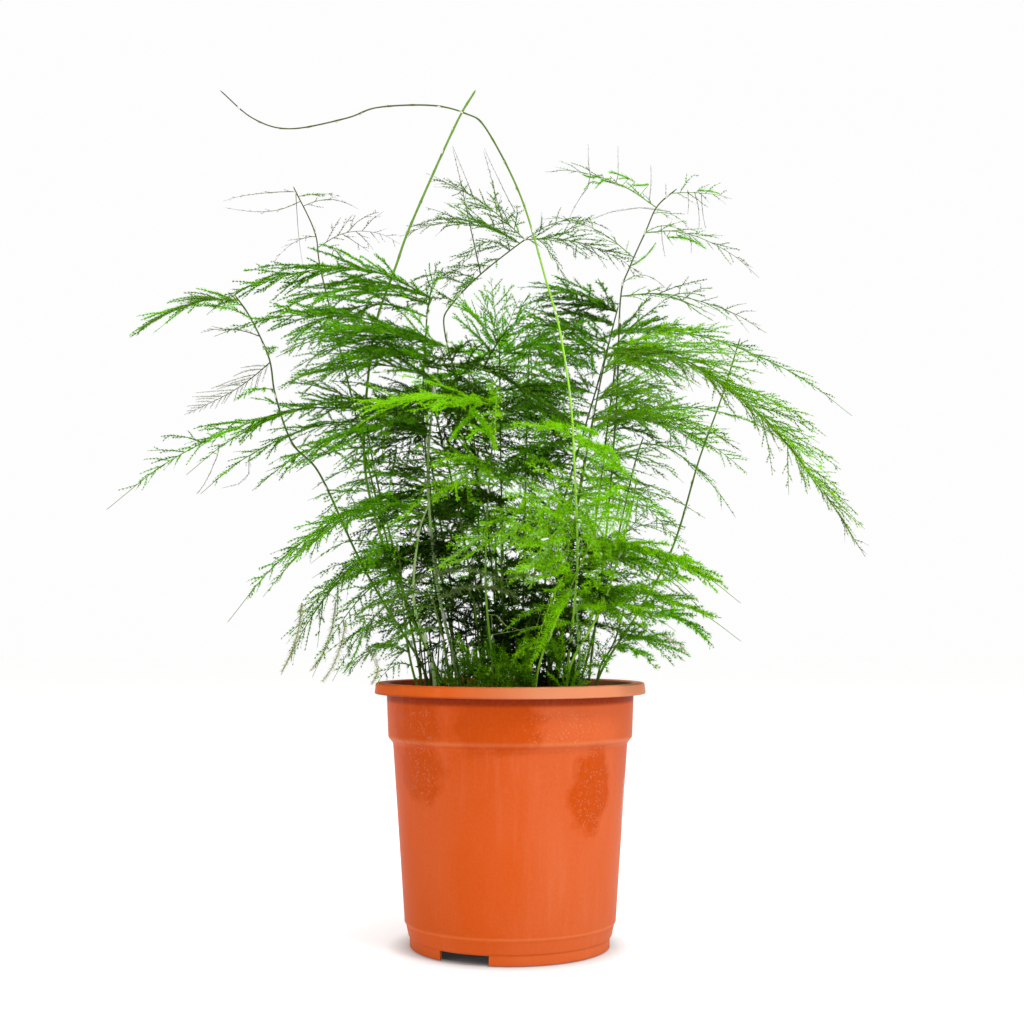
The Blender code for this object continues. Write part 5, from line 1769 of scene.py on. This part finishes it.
# %% Looks of the climbers and the left half
LOOKS = {
    "climber_curled": dict(stem_tone=1.0, stem_fade=0.22, stem_dry=0.0, stem_tip_dry=1.0,
                           stem=(0.62, 0.30), joint_gap=13.0, scale=0.6, lesser=0),
    "climber_straight": dict(stem_tone=0.40, stem_dry=0.0, stem_tip_dry=0.0,
                             stem=(0.66, 0.50), joint_gap=15.0, scale=0.5, lesser=0),
    "climber_right": dict(stem_tone=0.25, joint_gap=19.0, scale=0.7, lesser=0),
    "shoot_left_tall": dict(tone=0.60, lesser=3, span=36.0, own={
        0: dict(tone=0.7, angle=15.0, uneven=4.0, gap=1.4, wide=0.42, bear=40.0, needles=9.0,
                needle=2.3, lean=25.0, under_dry=0.6),
        1: dict(angle=18.0, wide=0.7, needles=8.0, lean=25.0),
        2: dict(angle=40.0, uneven=3.0, loose=3.0, gap=1.4, wide=0.62, open=1.0, bear=99.0,
                needles=8.0, needle=1.3, blade=0.20, tuft=0.6, twig=0.8, core=0.42,
                tails=0.0, under=0.5)}),
    "shoot_left_arch": dict(TWIGGY, stem_dry=0.5, own={
        2: dict(gap=2.2, angle=34.0, wide=1.0, tone=0.6, twig=0.1, dry=0.6, gaps=0.1,
                needles=8.5, needle=2.1)}),
    "shoot_left_fan": dict(tone=0.50, eased=0.36, wide=0.75, needles=8.5, blade=0.40,
                           lesser=5, span=60.0, between=(0.5, 0.95), lift=(0.0, 0.06), own={
                               0: dict(needles=10.0, wide=0.52, angle=25.0, lean=28.0),
                               1: dict(needles=9.0, wide=0.7, angle=24.0, lean=28.0)}),
    "shoot_left_tier": dict(tone=0.50, lesser=6, span=60.0, between=(0.4, 0.9),
                            stem=(0.85, 0.50), stem_tone=0.9, stem_dry=0.0, waxy=True,
                            joint_gap=19.0, scale=1.5),
    "shoot_left_long": dict(tone=0.55, bare=0.12, wide=0.55, needle=2.0, lean=28.0),
    "shoot_left_low": dict(tone=0.55, dry=0.6, tails=0.5, gap=1.8, bare=0.15, wide=0.48,
                           needles=8.5, needle=2.0, lean=26.0, lesser=5, stem=(1.05, 0.38),
                           stem_tone=1.0, stem_dry=0.0, waxy=True, joint_gap=24.0, scale=1.4),
    "shoot_left_droop": dict(tone=0.36, tails=0.5, sag=0.35, angle=40.0, wide=0.7, bare=0.12,
                             needle=2.0, lesser=5, stem_tone=0.3),
    "shoot_left_pale": dict(CLOSE, tone=0.40, twig=0.2, sag=0.4, angle=48.0, wide=0.6,
                            bare=0.1, lesser=2),
}
print("looks of the left half:", len(LOOKS))

# %% Looks of the middle and the right half
LOOKS.update({
    "shoot_centre_lime": dict(tone=0.94, dry=0.1, stem_tone=0.4, lesser=6,
                              between=(0.6, 0.96)),
    "shoot_centre_dark": dict(tone=0.50, dry=0.1, lesser=12, span=56.0, swing=0.8),
    "shoot_centre_tuft": dict(tone=0.78, dry=0.2, lesser=11, swing=0.9, stray=0.3),
    "shoot_upper_twig": dict(TWIGGY, tone=0.52, twig=0.05, dry=0.6, gaps=0.05, gap=2.0,
                             wide=0.7, angle=30.0, needles=5.4, needle=1.9, lesser=6,
                             span=46.0),
    "shoot_dark_top": dict(tone=0.36, leaf="foliage_green", gap=1.9, needle=2.2,
                           between=(0.45, 0.85), swing=0.9, stray=0.3, lift=(0.0, 0.06)),
    "shoot_right_lime": dict(CLOSE, tone=0.72, dry=0.05, stem_tone=0.9, own={
        0: dict(tone=0.95, wide=0.6, angle=33.0, uneven=5.0), 1: FACING}),
    "shoot_front": dict(CLOSE, tone=0.55, dry=0.05, stem_tone=0.9, lesser=4,
                        own={0: FACING, 2: FACING}),
    "shoot_right_bright": dict(CLOSE, tone=0.66, dry=0.2, blade=0.38, angle=27.0, open=0.7,
                               wide=0.55, bare=0.26, lesser=4),
    "shoot_right_low": dict(CLOSE, tone=0.68, blade=0.38, lesser=6, span=30.0),
    "shoot_right_arch": dict(tone=0.70, dry=0.8, fresh=0.66, tails=0.9, gap=1.7, wide=0.62,
                             bare=0.03, angle=29.0, uneven=7.0, small_angle=28.0,
                             needle=1.8, blade=0.32, lean=27.0, under=0.55, under_dry=0.35,
                             lesser=4),
    "shoot_right_high": dict(tone=0.58, tails=0.7, bare=0.12, wide=0.38, angle=30.0,
                             needle=1.9, lean=30.0, lesser=7, span=52.0, swing=0.8,
                             stray=0.25, lift=(0.0, 0.06)),
    "shoot_right_tall": dict(TWIGGY, tone=0.58, twig=0.15, dry=0.7, gaps=0.1, needle=1.7,
                             stem_dry=0.3),
    "shoot_right_mid": dict(tone=0.55, tails=0.8, wide=0.5, gap=3.2, angle=28.0, needles=3.0,
                            lesser=2),
})
LOOKS.update({name: INNER if "inner" in name else BACK for name, *_ in BACK_SHOOTS})
for name in ("shoot_back_b", "shoot_back_f"):
    LOOKS[name] = dict(BACK, lesser=7, span=34.0, wide=0.55)
LOOKS["shoot_inner_d"] = dict(INNER, own={
    0: dict(tone=1.0, wide=0.45, needles=4.0, needle=1.9, blade=0.34, lean=30.0)})
print("looks in all:", len(LOOKS))

# %% [markdown]
# ## Growing the bush
#
# Now every shoot is grown, given its materials, and set in place of its solid. It rides on
# the part's one body. The count of triangles is printed, because a bush can easily grow
# past what a viewer can load: under 200,000 for one shoot and a million in all.

# %% Grow every shoot
SLOTS = {part["node"]: part["material_slot"] for part in frame["record"]["subparts"]}


def grow_shoot(shoot, look, draw):
    """Grows everything that one shoot carries."""
    growth = Growth()
    grow_stem(growth, shoot.stem, look, draw)
    twigs = [shoot.stem]
    for number, (run, width, tilt) in enumerate(shoot.sprays):
        grow_spray(growth, run, width, tilt, {**look, **look["own"].get(number, {})}, draw)
        twigs.append(run)
    for run, width, tilt, kind in filling_sprays(shoot):
        grow_spray(growth, run, width, tilt, {**look, **kind}, draw)
        twigs.append(run)
    for run, width, tilt in lesser_sprays(shoot, look, draw):
        grow_spray(growth, run, width, tilt, look, draw)
        twigs.append(run)
    add_brushes(growth, shoot.name, look, np.concatenate(twigs), draw)
    add_stalks(growth, look["stalks"], draw)
    return growth


total = 0
for shoot in shoots:
    look = {**ORDINARY, **LOOKS[shoot.name]}
    slot = SLOTS[shoot.name]
    growth = grow_shoot(shoot, look, np.random.default_rng(SEED * 100 + shoot.owner))
    materials = [NEEDLE_MATERIALS[look["leaf"] or slot]] + SHARED_MATERIALS
    piece = growth.make(f"{shoot.name}_grown", materials)
    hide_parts(shoot.name)
    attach(piece, "root")
    total += len(piece.data.polygons)
    print(f"{shoot.name}: {len(piece.data.polygons)} triangles")
print("foliage in all:", total, "triangles")

# %% [markdown]
# ## The pot
#
# The pot is injection moulded: one thin wall with a rolled rim, a taller collar that lets
# pots stack, a small step, and a foot ring with three notches for water. A lathe shape
# fits it: the section is drawn once as radius and height, and turned. Real mouldings have
# no sharp corner, so each corner of the section is cut into a small arc first. The notches
# are cut out afterwards with a Boolean, and the drain holes too.

# %% Pot section
POT_HEIGHT = 114.4
CORNER_RADIUS, CORNER_STEPS = 0.9, 3
# The largest share of a side that a corner takes, and the least arc worth drawing.
CORNER_SHARE, LEAST_ARC = 0.45, 0.02
# Radius and height in millimetres, and how round the corner is.
INNER_WALL = [(0.0, 5.8, 0), (43.0, 5.8, 1), (44.9, 10.6, 1), (50.8, 87.8, 1), (52.9, 90.2, 1)]
RIM = [(53.9, 113.9, 0.6), (54.4, 114.4, 0.6), (59.0, 114.4, 0.8), (59.55, 113.9, 0.8),
       (60.0, 109.9, 0.5), (59.75, 109.6, 0.5), (59.1, 109.6, 0.4), (58.6, 113.2, 0.6),
       (55.3, 113.2, 1), (54.7, 109.5, 1)]
COLLAR = [(53.95, 91.2, 0.4), (53.85, 90.5, 1.2), (51.95, 88.3, 1.2)]
WALL = [(51.75, 87.2, 0.5), (46.35, 11.6, 0.3), (46.42, 11.1, 0.5), (46.10, 10.5, 0.5),
        (45.75, 10.2, 0.3), (44.62, 5.1, 0.4), (44.40, 4.75, 0.4)]
FOOT_RING = [(43.95, 4.6, 0.4), (44.05, 4.25, 0.4), (44.0, 0.35, 0.4), (43.7, 0.0, 0.4),
             (42.9, 0.0, 0.4), (42.6, 0.3, 0.4), (42.6, 4.6, 0.4), (0.0, 4.6, 0)]


def rounded(section):
    """The section with its corners cut into small arcs."""
    points = [np.array(point[:2], float) for point in section]
    out = [tuple(points[0])]
    for before, corner, after, (_, _, share) in zip(points, points[1:], points[2:], section[1:]):
        back, ahead = before - corner, after - corner
        room = CORNER_SHARE * min(np.linalg.norm(back), np.linalg.norm(ahead))
        size = min(share * CORNER_RADIUS, room)
        if size < LEAST_ARC:
            out.append(tuple(corner))
            continue
        start = corner + back / np.linalg.norm(back) * size
        end = corner + ahead / np.linalg.norm(ahead) * size
        for share in np.linspace(0, 1, CORNER_STEPS + 1):
            curve = (1 - share) ** 2 * start + 2 * share * (1 - share) * corner
            out.append(tuple(curve + share ** 2 * end))
    return out + [tuple(points[-1])]


pot_section = rounded(INNER_WALL + RIM + COLLAR + WALL + FOOT_RING)
print("section points:", len(pot_section))

# %% Turn the pot
TURN_STEPS = 180
MERGED = 0.00001
outline = bpy.data.meshes.new("nursery_pot")
outline.from_pydata([(radius * MM, 0.0, height * MM) for radius, height in pot_section],
                    [(i, i + 1) for i in range(len(pot_section) - 1)], [])
pot = bpy.data.objects.new("nursery_pot", outline)
bpy.context.scene.collection.objects.link(pot)
lathe = pot.modifiers.new("turn", "SCREW")
lathe.steps = lathe.render_steps = TURN_STEPS
lathe.use_merge_vertices = True
lathe.merge_threshold = MERGED
print("turned in", TURN_STEPS, "steps")

# %% Cut the notches and drains
NOTCHES, NOTCH_TURN, NOTCH_RING, NOTCH_LEVEL = 3, -116.6, 44, -0.8
NOTCH_SIZE = (12, 23, 10)
DRAINS, DRAIN_RING, DRAIN_LEVEL, DRAIN_RADIUS, DRAIN_DEPTH = 6, 30, 5, 4, 8
SHARP_ANGLE = 32


def on_ring(radius, angle, height):
    """A place on a ring round the axis, in metres."""
    return radius * MM * math.cos(angle), radius * MM * math.sin(angle), height * MM


cutters = []
for index in range(NOTCHES):
    angle = math.radians(NOTCH_TURN + 360 // NOTCHES * index)
    bpy.ops.mesh.primitive_cube_add(size=1, rotation=(0, 0, angle),
                                    location=on_ring(NOTCH_RING, angle, NOTCH_LEVEL))
    bpy.context.object.name = f"notch_{index}"
    bpy.context.object.scale = [side * MM for side in NOTCH_SIZE]
    cutters.append(bpy.context.object)
for index in range(DRAINS):
    angle = math.radians(360 // DRAINS * index)
    bpy.ops.mesh.primitive_cylinder_add(
        vertices=32, radius=DRAIN_RADIUS * MM, depth=DRAIN_DEPTH * MM,
        location=on_ring(DRAIN_RING, angle, DRAIN_LEVEL))
    bpy.context.object.name = f"drain_{index}"
    cutters.append(bpy.context.object)
for cutter in cutters:
    cut = pot.modifiers.new(cutter.name, "BOOLEAN")
    cut.operation = "DIFFERENCE"
    cut.object = cutter
graph = bpy.context.evaluated_depsgraph_get()
pot_mesh = bpy.data.meshes.new_from_object(pot.evaluated_get(graph))
pot.modifiers.clear()
pot.data = pot_mesh
for cutter in cutters:
    bpy.data.objects.remove(cutter)
pot_mesh.shade_smooth()
pot_mesh.set_sharp_from_angle(angle=math.radians(SHARP_ANGLE))
print("pot faces:", len(pot_mesh.polygons))

# %% [markdown]
# ## The pot's plastic
#
# The plastic is a strong orange. Over most of the wall lies a pale pink, thickest on the right:
# painted reflection of the soft boxes, laid on as a thin film. In some patches the wall is
# glossier, the pink is missing and the orange is deeper, which is painted dark reflection. Small
# round drops are raised a little and painted paler as glints, and there are a few faint runs.
# Under the lip lies a dark line of painted shadow. The patches are soft balls round chosen places
# on the wall, with ragged edges from noise in the object's own space, so all of it stays put from
# every side. The picture shows the front ones only. The others follow the same pattern.

# %% Places of the glossy patches of painted dark reflection
# Turn from the front in degrees, height, half width and half height in millimetres.
SIDE_PATCHES = [(84, 63, 8, 12), (94, 53, 8, 10)]
BACK_PATCHES = [(168, 79, 9, 13), (178, 67, 9, 15), (228, 98, 18, 9)]
GLOSSY_DARK_REFLECTION_PATCHES = [(-49, 99, 17, 12), (-6, 99, 20, 13), (-49, 79, 15, 14), (42, 71, 12, 18),
                 *SIDE_PATCHES, (128, 96, 16, 9), *BACK_PATCHES, (262, 66, 10, 14)]
DROP_PATCHES = [(-47, 77, 11, 13), (43, 71, 10, 19), (24, 97, 17, 9), (-44, 98, 11, 8),
                *SIDE_PATCHES, *BACK_PATCHES]
WALL_RADIUS = 52.0
EDGE_OUT, EDGE_IN = 1.16, 0.80


def patch_mask(tree, place, ragged, patches):
    """A mask that is 1 inside the patches, from their places on the wall."""
    found = None
    for turn, height, half_wide, half_high in patches:
        across, back, up = on_ring(WALL_RADIUS, math.radians(turn - 90), height)
        offset = add_node(tree, "ShaderNodeVectorMath", {0: place, 1: (across, back, up)},
                          operation="SUBTRACT")
        sizes = [half * MM for half in (half_wide, half_wide, half_high)]
        scaled = add_node(tree, "ShaderNodeVectorMath", {0: offset.outputs[0], 1: sizes},
                          operation="DIVIDE")
        away = add_node(tree, "ShaderNodeVectorMath", {0: scaled.outputs[0]},
                        operation="LENGTH").outputs["Value"]
        edge = stretched(tree, reckoned(tree, "ADD", away, ragged), EDGE_OUT, EDGE_IN)
        found = edge if found is None else reckoned(tree, "MAXIMUM", found, edge)
    return found


print("clean patches:", len(GLOSSY_DARK_REFLECTION_PATCHES), "with drops:", len(DROP_PATCHES))

# %% Water marks and painted reflection group
tree, given, result = new_group(
    "water_marks", {"Drop Scale": VALUE, "Raggedness": VALUE},
    {"Clean": VALUE, "Drops": VALUE, "Runs": VALUE, "Dust": VALUE, "Cloud": VALUE})
water_marks = tree
wall_place = add_node(tree, "ShaderNodeTexCoord").outputs["Object"]


def grain(scale, detail, low, high, drawn_out=1.0):
    """A mask from noise on the wall: 0 where the noise is low, 1 where it is high."""
    place = wall_place
    if drawn_out != 1.0:
        mapping = {"Vector": place, "Scale": (1.0, 1.0, drawn_out)}
        place = add_node(water_marks, "ShaderNodeMapping", mapping).outputs["Vector"]
    return stretched(water_marks, noise_at(water_marks, place, scale, detail), low, high)


centred = reckoned(tree, "SUBTRACT", noise_at(tree, wall_place, 130.0, 3.0), 0.5)
ragged = reckoned(tree, "MULTIPLY", centred, given.outputs["Raggedness"])
cells = add_node(tree, "ShaderNodeTexVoronoi", {
    "Vector": wall_place, "Scale": given.outputs["Drop Scale"]})
round_drops = stretched(tree, cells.outputs["Distance"], 0.42, 0.24)
wet = reckoned(tree, "MULTIPLY", patch_mask(tree, wall_place, ragged, DROP_PATCHES),
               grain(240.0, 1.0, 0.40, 0.56))
streaks = grain(380.0, 3.0, 0.50, 0.72, drawn_out=0.06)
# The first mask below marks the glossy patches that are painted as dark reflection. Drops are
# real drops whose pale colour is a painted glint, and the cloud mask makes the painted sheen
# uneven.
for label, mask in (
        ("Clean", patch_mask(tree, wall_place, ragged, GLOSSY_DARK_REFLECTION_PATCHES)),
        ("Drops", reckoned(tree, "MULTIPLY", round_drops, wet)),
        ("Runs", reckoned(tree, "MULTIPLY", streaks, grain(26.0, 3.0, 0.46, 0.60))),
        ("Dust", grain(900.0, 4.0, 0.42, 0.74)),
        ("Cloud", grain(44.0, 5.0, 0.38, 0.66, drawn_out=0.4))):
    set_input(tree, result.inputs[label], mask)
print("group:", water_marks.name, [item.name for item in water_marks.interface.items_tree])

# %% [markdown]
# ## Painted reflection and shade on the wall
#
# The pale pink is mixed over the orange as painted reflection. It is thin on the left, thicker on
# the right, a little cloudy, weaker on the lip and in the painted shadow line under it, and
# missing in the patches of painted dark reflection. The orange itself follows the height:
# brighter at the foot, with painted highlights on the ridge above the foot and on the collar's
# step, painted shade just below that step, and painted shadow in the line under the lip. Heights
# in the material are shares of the pot's height.

# %% Colour of the wall
# The steps also paint light: the pale lines at 0.096 on the ridge and at 0.792 on the step are
# painted highlights, the darker band at 0.780 is painted shade, and the dark line from 0.936 to
# 0.958 under the lip is painted shadow.
ORANGE_STEPS = [
    (0.03, (0.60, 0.090, 0.008)), (0.088, (0.57, 0.074, 0.002)), (0.096, (0.64, 0.120, 0.020)),
    (0.104, (0.54, 0.068, 0.001)), (0.45, (0.55, 0.068, 0.001)), (0.772, (0.53, 0.064, 0.001)),
    (0.780, (0.45, 0.052, 0.003)), (0.792, (0.57, 0.120, 0.030)), (0.804, (0.54, 0.066, 0.001)),
    (0.924, (0.53, 0.063, 0.001)), (0.936, (0.27, 0.026, 0.001)), (0.958, (0.22, 0.019, 0.001)),
    (0.966, (0.62, 0.095, 0.008))]
# Colours painted over the orange: deep orange as dark reflection, pale pink on the lip as
# highlight, pale pink as sheen and marks, and near-black as shade under the foot.
DARK_REFLECTION_ORANGE, PAINTED_LIP_HIGHLIGHT = (0.30, 0.034, 0.001, 1.0), (0.60, 0.21, 0.10, 1.0)
SHEEN_AND_MARK_PINK, UNDERSIDE_SHADE = (0.88, 0.44, 0.26, 1.0), (0.012, 0.008, 0.006, 1.0)
pot_plastic = bpy.data.materials.new("orange_pot_plastic")
pot_plastic.use_nodes = True
tree = pot_plastic.node_tree
marks = add_node(tree, "ShaderNodeGroup", {"Drop Scale": 720.0, "Raggedness": 0.9},
                 node_tree=water_marks).outputs
apart = add_node(tree, "ShaderNodeSeparateXYZ", {
    "Vector": add_node(tree, "ShaderNodeTexCoord").outputs["Object"]}).outputs
height = stretched(tree, apart["Z"], 0.0, POT_HEIGHT * MM)
wall_colour = add_node(tree, "ShaderNodeValToRGB", {"Fac": height})
fill_ramp(wall_colour, ORANGE_STEPS)
print("steps of orange:", len(ORANGE_STEPS))

# %% How thick the painted sheen and the marks are
# The pale sheen, painted reflection of the soft boxes, grows thicker from the middle to the
# right, and marks add to it: dust, runs, and drops whose paleness is a painted glint.
SHEEN_LEFT, SHEEN_RIGHT, CLOUDED = 0.022, 0.072, 0.035
MARKED = {"Dust": 0.03, "Runs": 0.035, "Drops": 0.12}
LIP_FROM, LIP_TO = 0.955, 0.962
# The dark line under the lip is painted shadow, and the sheen is kept thin in it.
SHADOW_LINE_FROM, SHADOW_LINE_TO = 0.922, 0.934
IN_SHADOW_LINE, ON_LIP = 0.15, 0.4
rightward = stretched(tree, apart["X"], 4.0 * MM, 17.0 * MM, SHEEN_LEFT, SHEEN_RIGHT)
cloudy = reckoned(tree, "MULTIPLY_ADD", marks["Cloud"], CLOUDED, rightward)
on_lip = stretched(tree, height, LIP_FROM, LIP_TO)
in_shadow_line = reckoned(tree, "SUBTRACT", stretched(tree, height, SHADOW_LINE_FROM, SHADOW_LINE_TO), on_lip,
                   clamp=True)
sheen_and_marks = reckoned(tree, "MULTIPLY", cloudy, stretched(tree, in_shadow_line, 0.0, 1.0, 1.0, IN_SHADOW_LINE))
sheen_and_marks = reckoned(tree, "MULTIPLY", sheen_and_marks, stretched(tree, marks["Clean"], 0.0, 1.0, 1.0, 0.0))
for mark, share in MARKED.items():
    sheen_and_marks = reckoned(tree, "ADD", sheen_and_marks, reckoned(tree, "MULTIPLY", marks[mark], share))
sheen_and_marks = reckoned(tree, "MULTIPLY", sheen_and_marks, stretched(tree, on_lip, 0.0, 1.0, 1.0, ON_LIP),
                clamp=True)
print("marks that add to the film:", list(MARKED))

# %% Pot material
DEEPENED = 0.22
# The bottom inside the foot ring is painted dark, as shade under the pot. Its edge is a square of
# metres from the axis.
FOOT_INSIDE, FOOT_OUTSIDE = 0.0417 ** 2, 0.0423 ** 2
FOOT_LOW, FOOT_HIGH = 0.042, 0.046
DULL, GLOSSY = 0.42, 0.20
# In the glossy patches the orange is painted deeper, as dark reflection.
dark_reflection_share = reckoned(tree, "MULTIPLY", marks["Clean"], DEEPENED)
# The lip turns paler pink towards the right: a painted highlight.
lip_highlight_share = reckoned(tree, "MULTIPLY", on_lip, stretched(tree, apart["X"], -26.0 * MM, 14.0 * MM))
away = reckoned(tree, "ADD", *(reckoned(tree, "MULTIPLY", apart[axis], apart[axis])
                               for axis in "XY"))
in_foot_shade = reckoned(tree, "MULTIPLY", stretched(tree, away, FOOT_INSIDE, FOOT_OUTSIDE, 1.0, 0.0),
                   stretched(tree, height, FOOT_LOW, FOOT_HIGH, 1.0, 0.0))
paint = wall_colour.outputs["Color"]
for share, colour in ((dark_reflection_share, DARK_REFLECTION_ORANGE), (lip_highlight_share, PAINTED_LIP_HIGHLIGHT), (sheen_and_marks, SHEEN_AND_MARK_PINK),
                      (in_foot_shade, UNDERSIDE_SHADE)):
    paint = blended(tree, share, paint, colour)
relief = add_node(tree, "ShaderNodeBump", {
    "Distance": 0.00015, "Strength": 0.8, "Height": marks["Drops"]})
for label, value in (("Base Color", paint), ("Specular IOR Level", 0.02),
                     ("Coat Roughness", 0.08), ("Coat Weight", 0.04),
                     ("Roughness", stretched(tree, marks["Clean"], 0.0, 1.0, DULL, GLOSSY)),
                     ("Normal", relief.outputs["Normal"])):
    set_input(tree, tree.nodes["Principled BSDF"].inputs[label], value)
pot_mesh.materials.clear()
pot_mesh.materials.append(pot_plastic)
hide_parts("pot")
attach(pot, "root")
print("pot material nodes:", len(tree.nodes))

# %% [markdown]
# ## The soil
#
# The soil is dark peat, a little mounded, with crumbs and a few pale grains. A fine disc of
# rings is pushed up and down by noise for its surface, and some hundreds of small lumps lie
# on it. They are all one mesh, because nobody will ever pick one up.

# %% Soil surface
SOIL_RADIUS = 52.2
RINGS, SPOKES = 44, 132
# How rough the surface is in millimetres, how fine the noise is, and its slice and octaves.
ROUGH, ROUGH_SCALE, ROUGH_SLICE, ROUGH_OCTAVES = 0.55, 0.14, 3.1, 4
# Below the surface the soil is a plug: how far down and how wide, as a share.
SOIL_RINGS_BELOW = [(-3.0, 1.0), (-90.0, 0.82)]
growth = Growth()
draw = np.random.default_rng(SEED)


def soil_height(x, y):
    """The height of the soil's surface in millimetres."""
    far = math.hypot(x, y) / SOIL_RADIUS
    place = Vector((x * ROUGH_SCALE, y * ROUGH_SCALE, ROUGH_SLICE))
    rough = noise.fractal(place, 1.0, 2.1, ROUGH_OCTAVES)
    return SOIL_TOP + SOIL_MOUND * (1 - far ** 2) + ROUGH * rough + 0.3


angles = np.arange(SPOKES) * TAU / SPOKES
corners = [(0.0, 0.0, soil_height(0, 0))]
for distance in np.linspace(0, SOIL_RADIUS, RINGS + 1)[1:]:
    for angle in angles:
        x, y = distance * math.cos(angle), distance * math.sin(angle)
        corners.append((x, y, soil_height(x, y)))
for depth, share in SOIL_RINGS_BELOW:
    corners += [(SOIL_RADIUS * share * math.cos(angle), SOIL_RADIUS * share * math.sin(angle),
                 SOIL_TOP + depth) for angle in angles]
corners.append((0.0, 0.0, SOIL_TOP + SOIL_RINGS_BELOW[-1][0]))
triangles = [(0, 1 + i, 1 + (i + 1) % SPOKES) for i in range(SPOKES)]
for ring in range(RINGS + 1):
    low, high = 1 + ring * SPOKES, 1 + (ring + 1) * SPOKES
    for i in range(SPOKES):
        j = (i + 1) % SPOKES
        triangles += [(low + i, high + i, high + j), (low + i, high + j, low + j)]
last = 1 + (RINGS + 1) * SPOKES
triangles += [(len(corners) - 1, last + (i + 1) % SPOKES, last + i) for i in range(SPOKES)]
growth.add(np.array(corners), np.array(triangles), 0.4, 0.0, 0, True)
print("soil surface:", len(triangles), "triangles")

# %% Crumbs and grains
LUMP_CORNERS = np.array([(1, 0, 0), (0, 1, 0), (-1, 0, 0), (0, -1, 0), (0, 0, 1), (0, 0, -1)],
                        float)
LUMP_SIDES = np.array([(0, 1, 4), (1, 2, 4), (2, 3, 4), (3, 0, 4),
                       (1, 0, 5), (2, 1, 5), (3, 2, 5), (0, 3, 5)])
LUMP_FLAT = 0.75


def lumps(count, smallest, largest, kind, tone, seat):
    """Small rough lumps on the soil: squashed octahedra with their corners moved."""
    for _ in range(count):
        angle, far = draw.uniform(0, TAU), SOIL_RADIUS * math.sqrt(draw.uniform(0, 0.96))
        x, y = far * math.cos(angle), far * math.sin(angle)
        size = draw.uniform(smallest, largest) * draw.uniform(0.6, 1.0)
        body = LUMP_CORNERS * size * draw.uniform(0.6, 1.2, (6, 1)) * (1, 1, LUMP_FLAT)
        turn = draw.uniform(0, TAU)
        flat = np.array([[math.cos(turn), -math.sin(turn), 0],
                         [math.sin(turn), math.cos(turn), 0], [0, 0, 1]])
        place = np.array((x, y, soil_height(x, y) + size * seat))
        growth.add(body @ flat.T + place, LUMP_SIDES, draw.normal(tone, 0.15), 0.0, kind, False)


lumps(1500, 0.5, 1.7, 0, 0.5, 0.15)
lumps(70, 0.5, 1.1, 1, 0.8, 0.3)
soil = growth.make("potting_soil", [
    foliage_material("damp_peat", (0.012, 0.007, 0.004), (0.060, 0.036, 0.020),
                     (0.1, 0.07, 0.05), 0.8, 0.0),
    foliage_material("pale_grain", (0.40, 0.36, 0.29), (0.66, 0.62, 0.54),
                     (0.7, 0.66, 0.6), 0.3, 0.0)])
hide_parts("soil")
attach(soil, "root")
print("soil in all:", len(soil.data.polygons), "triangles")
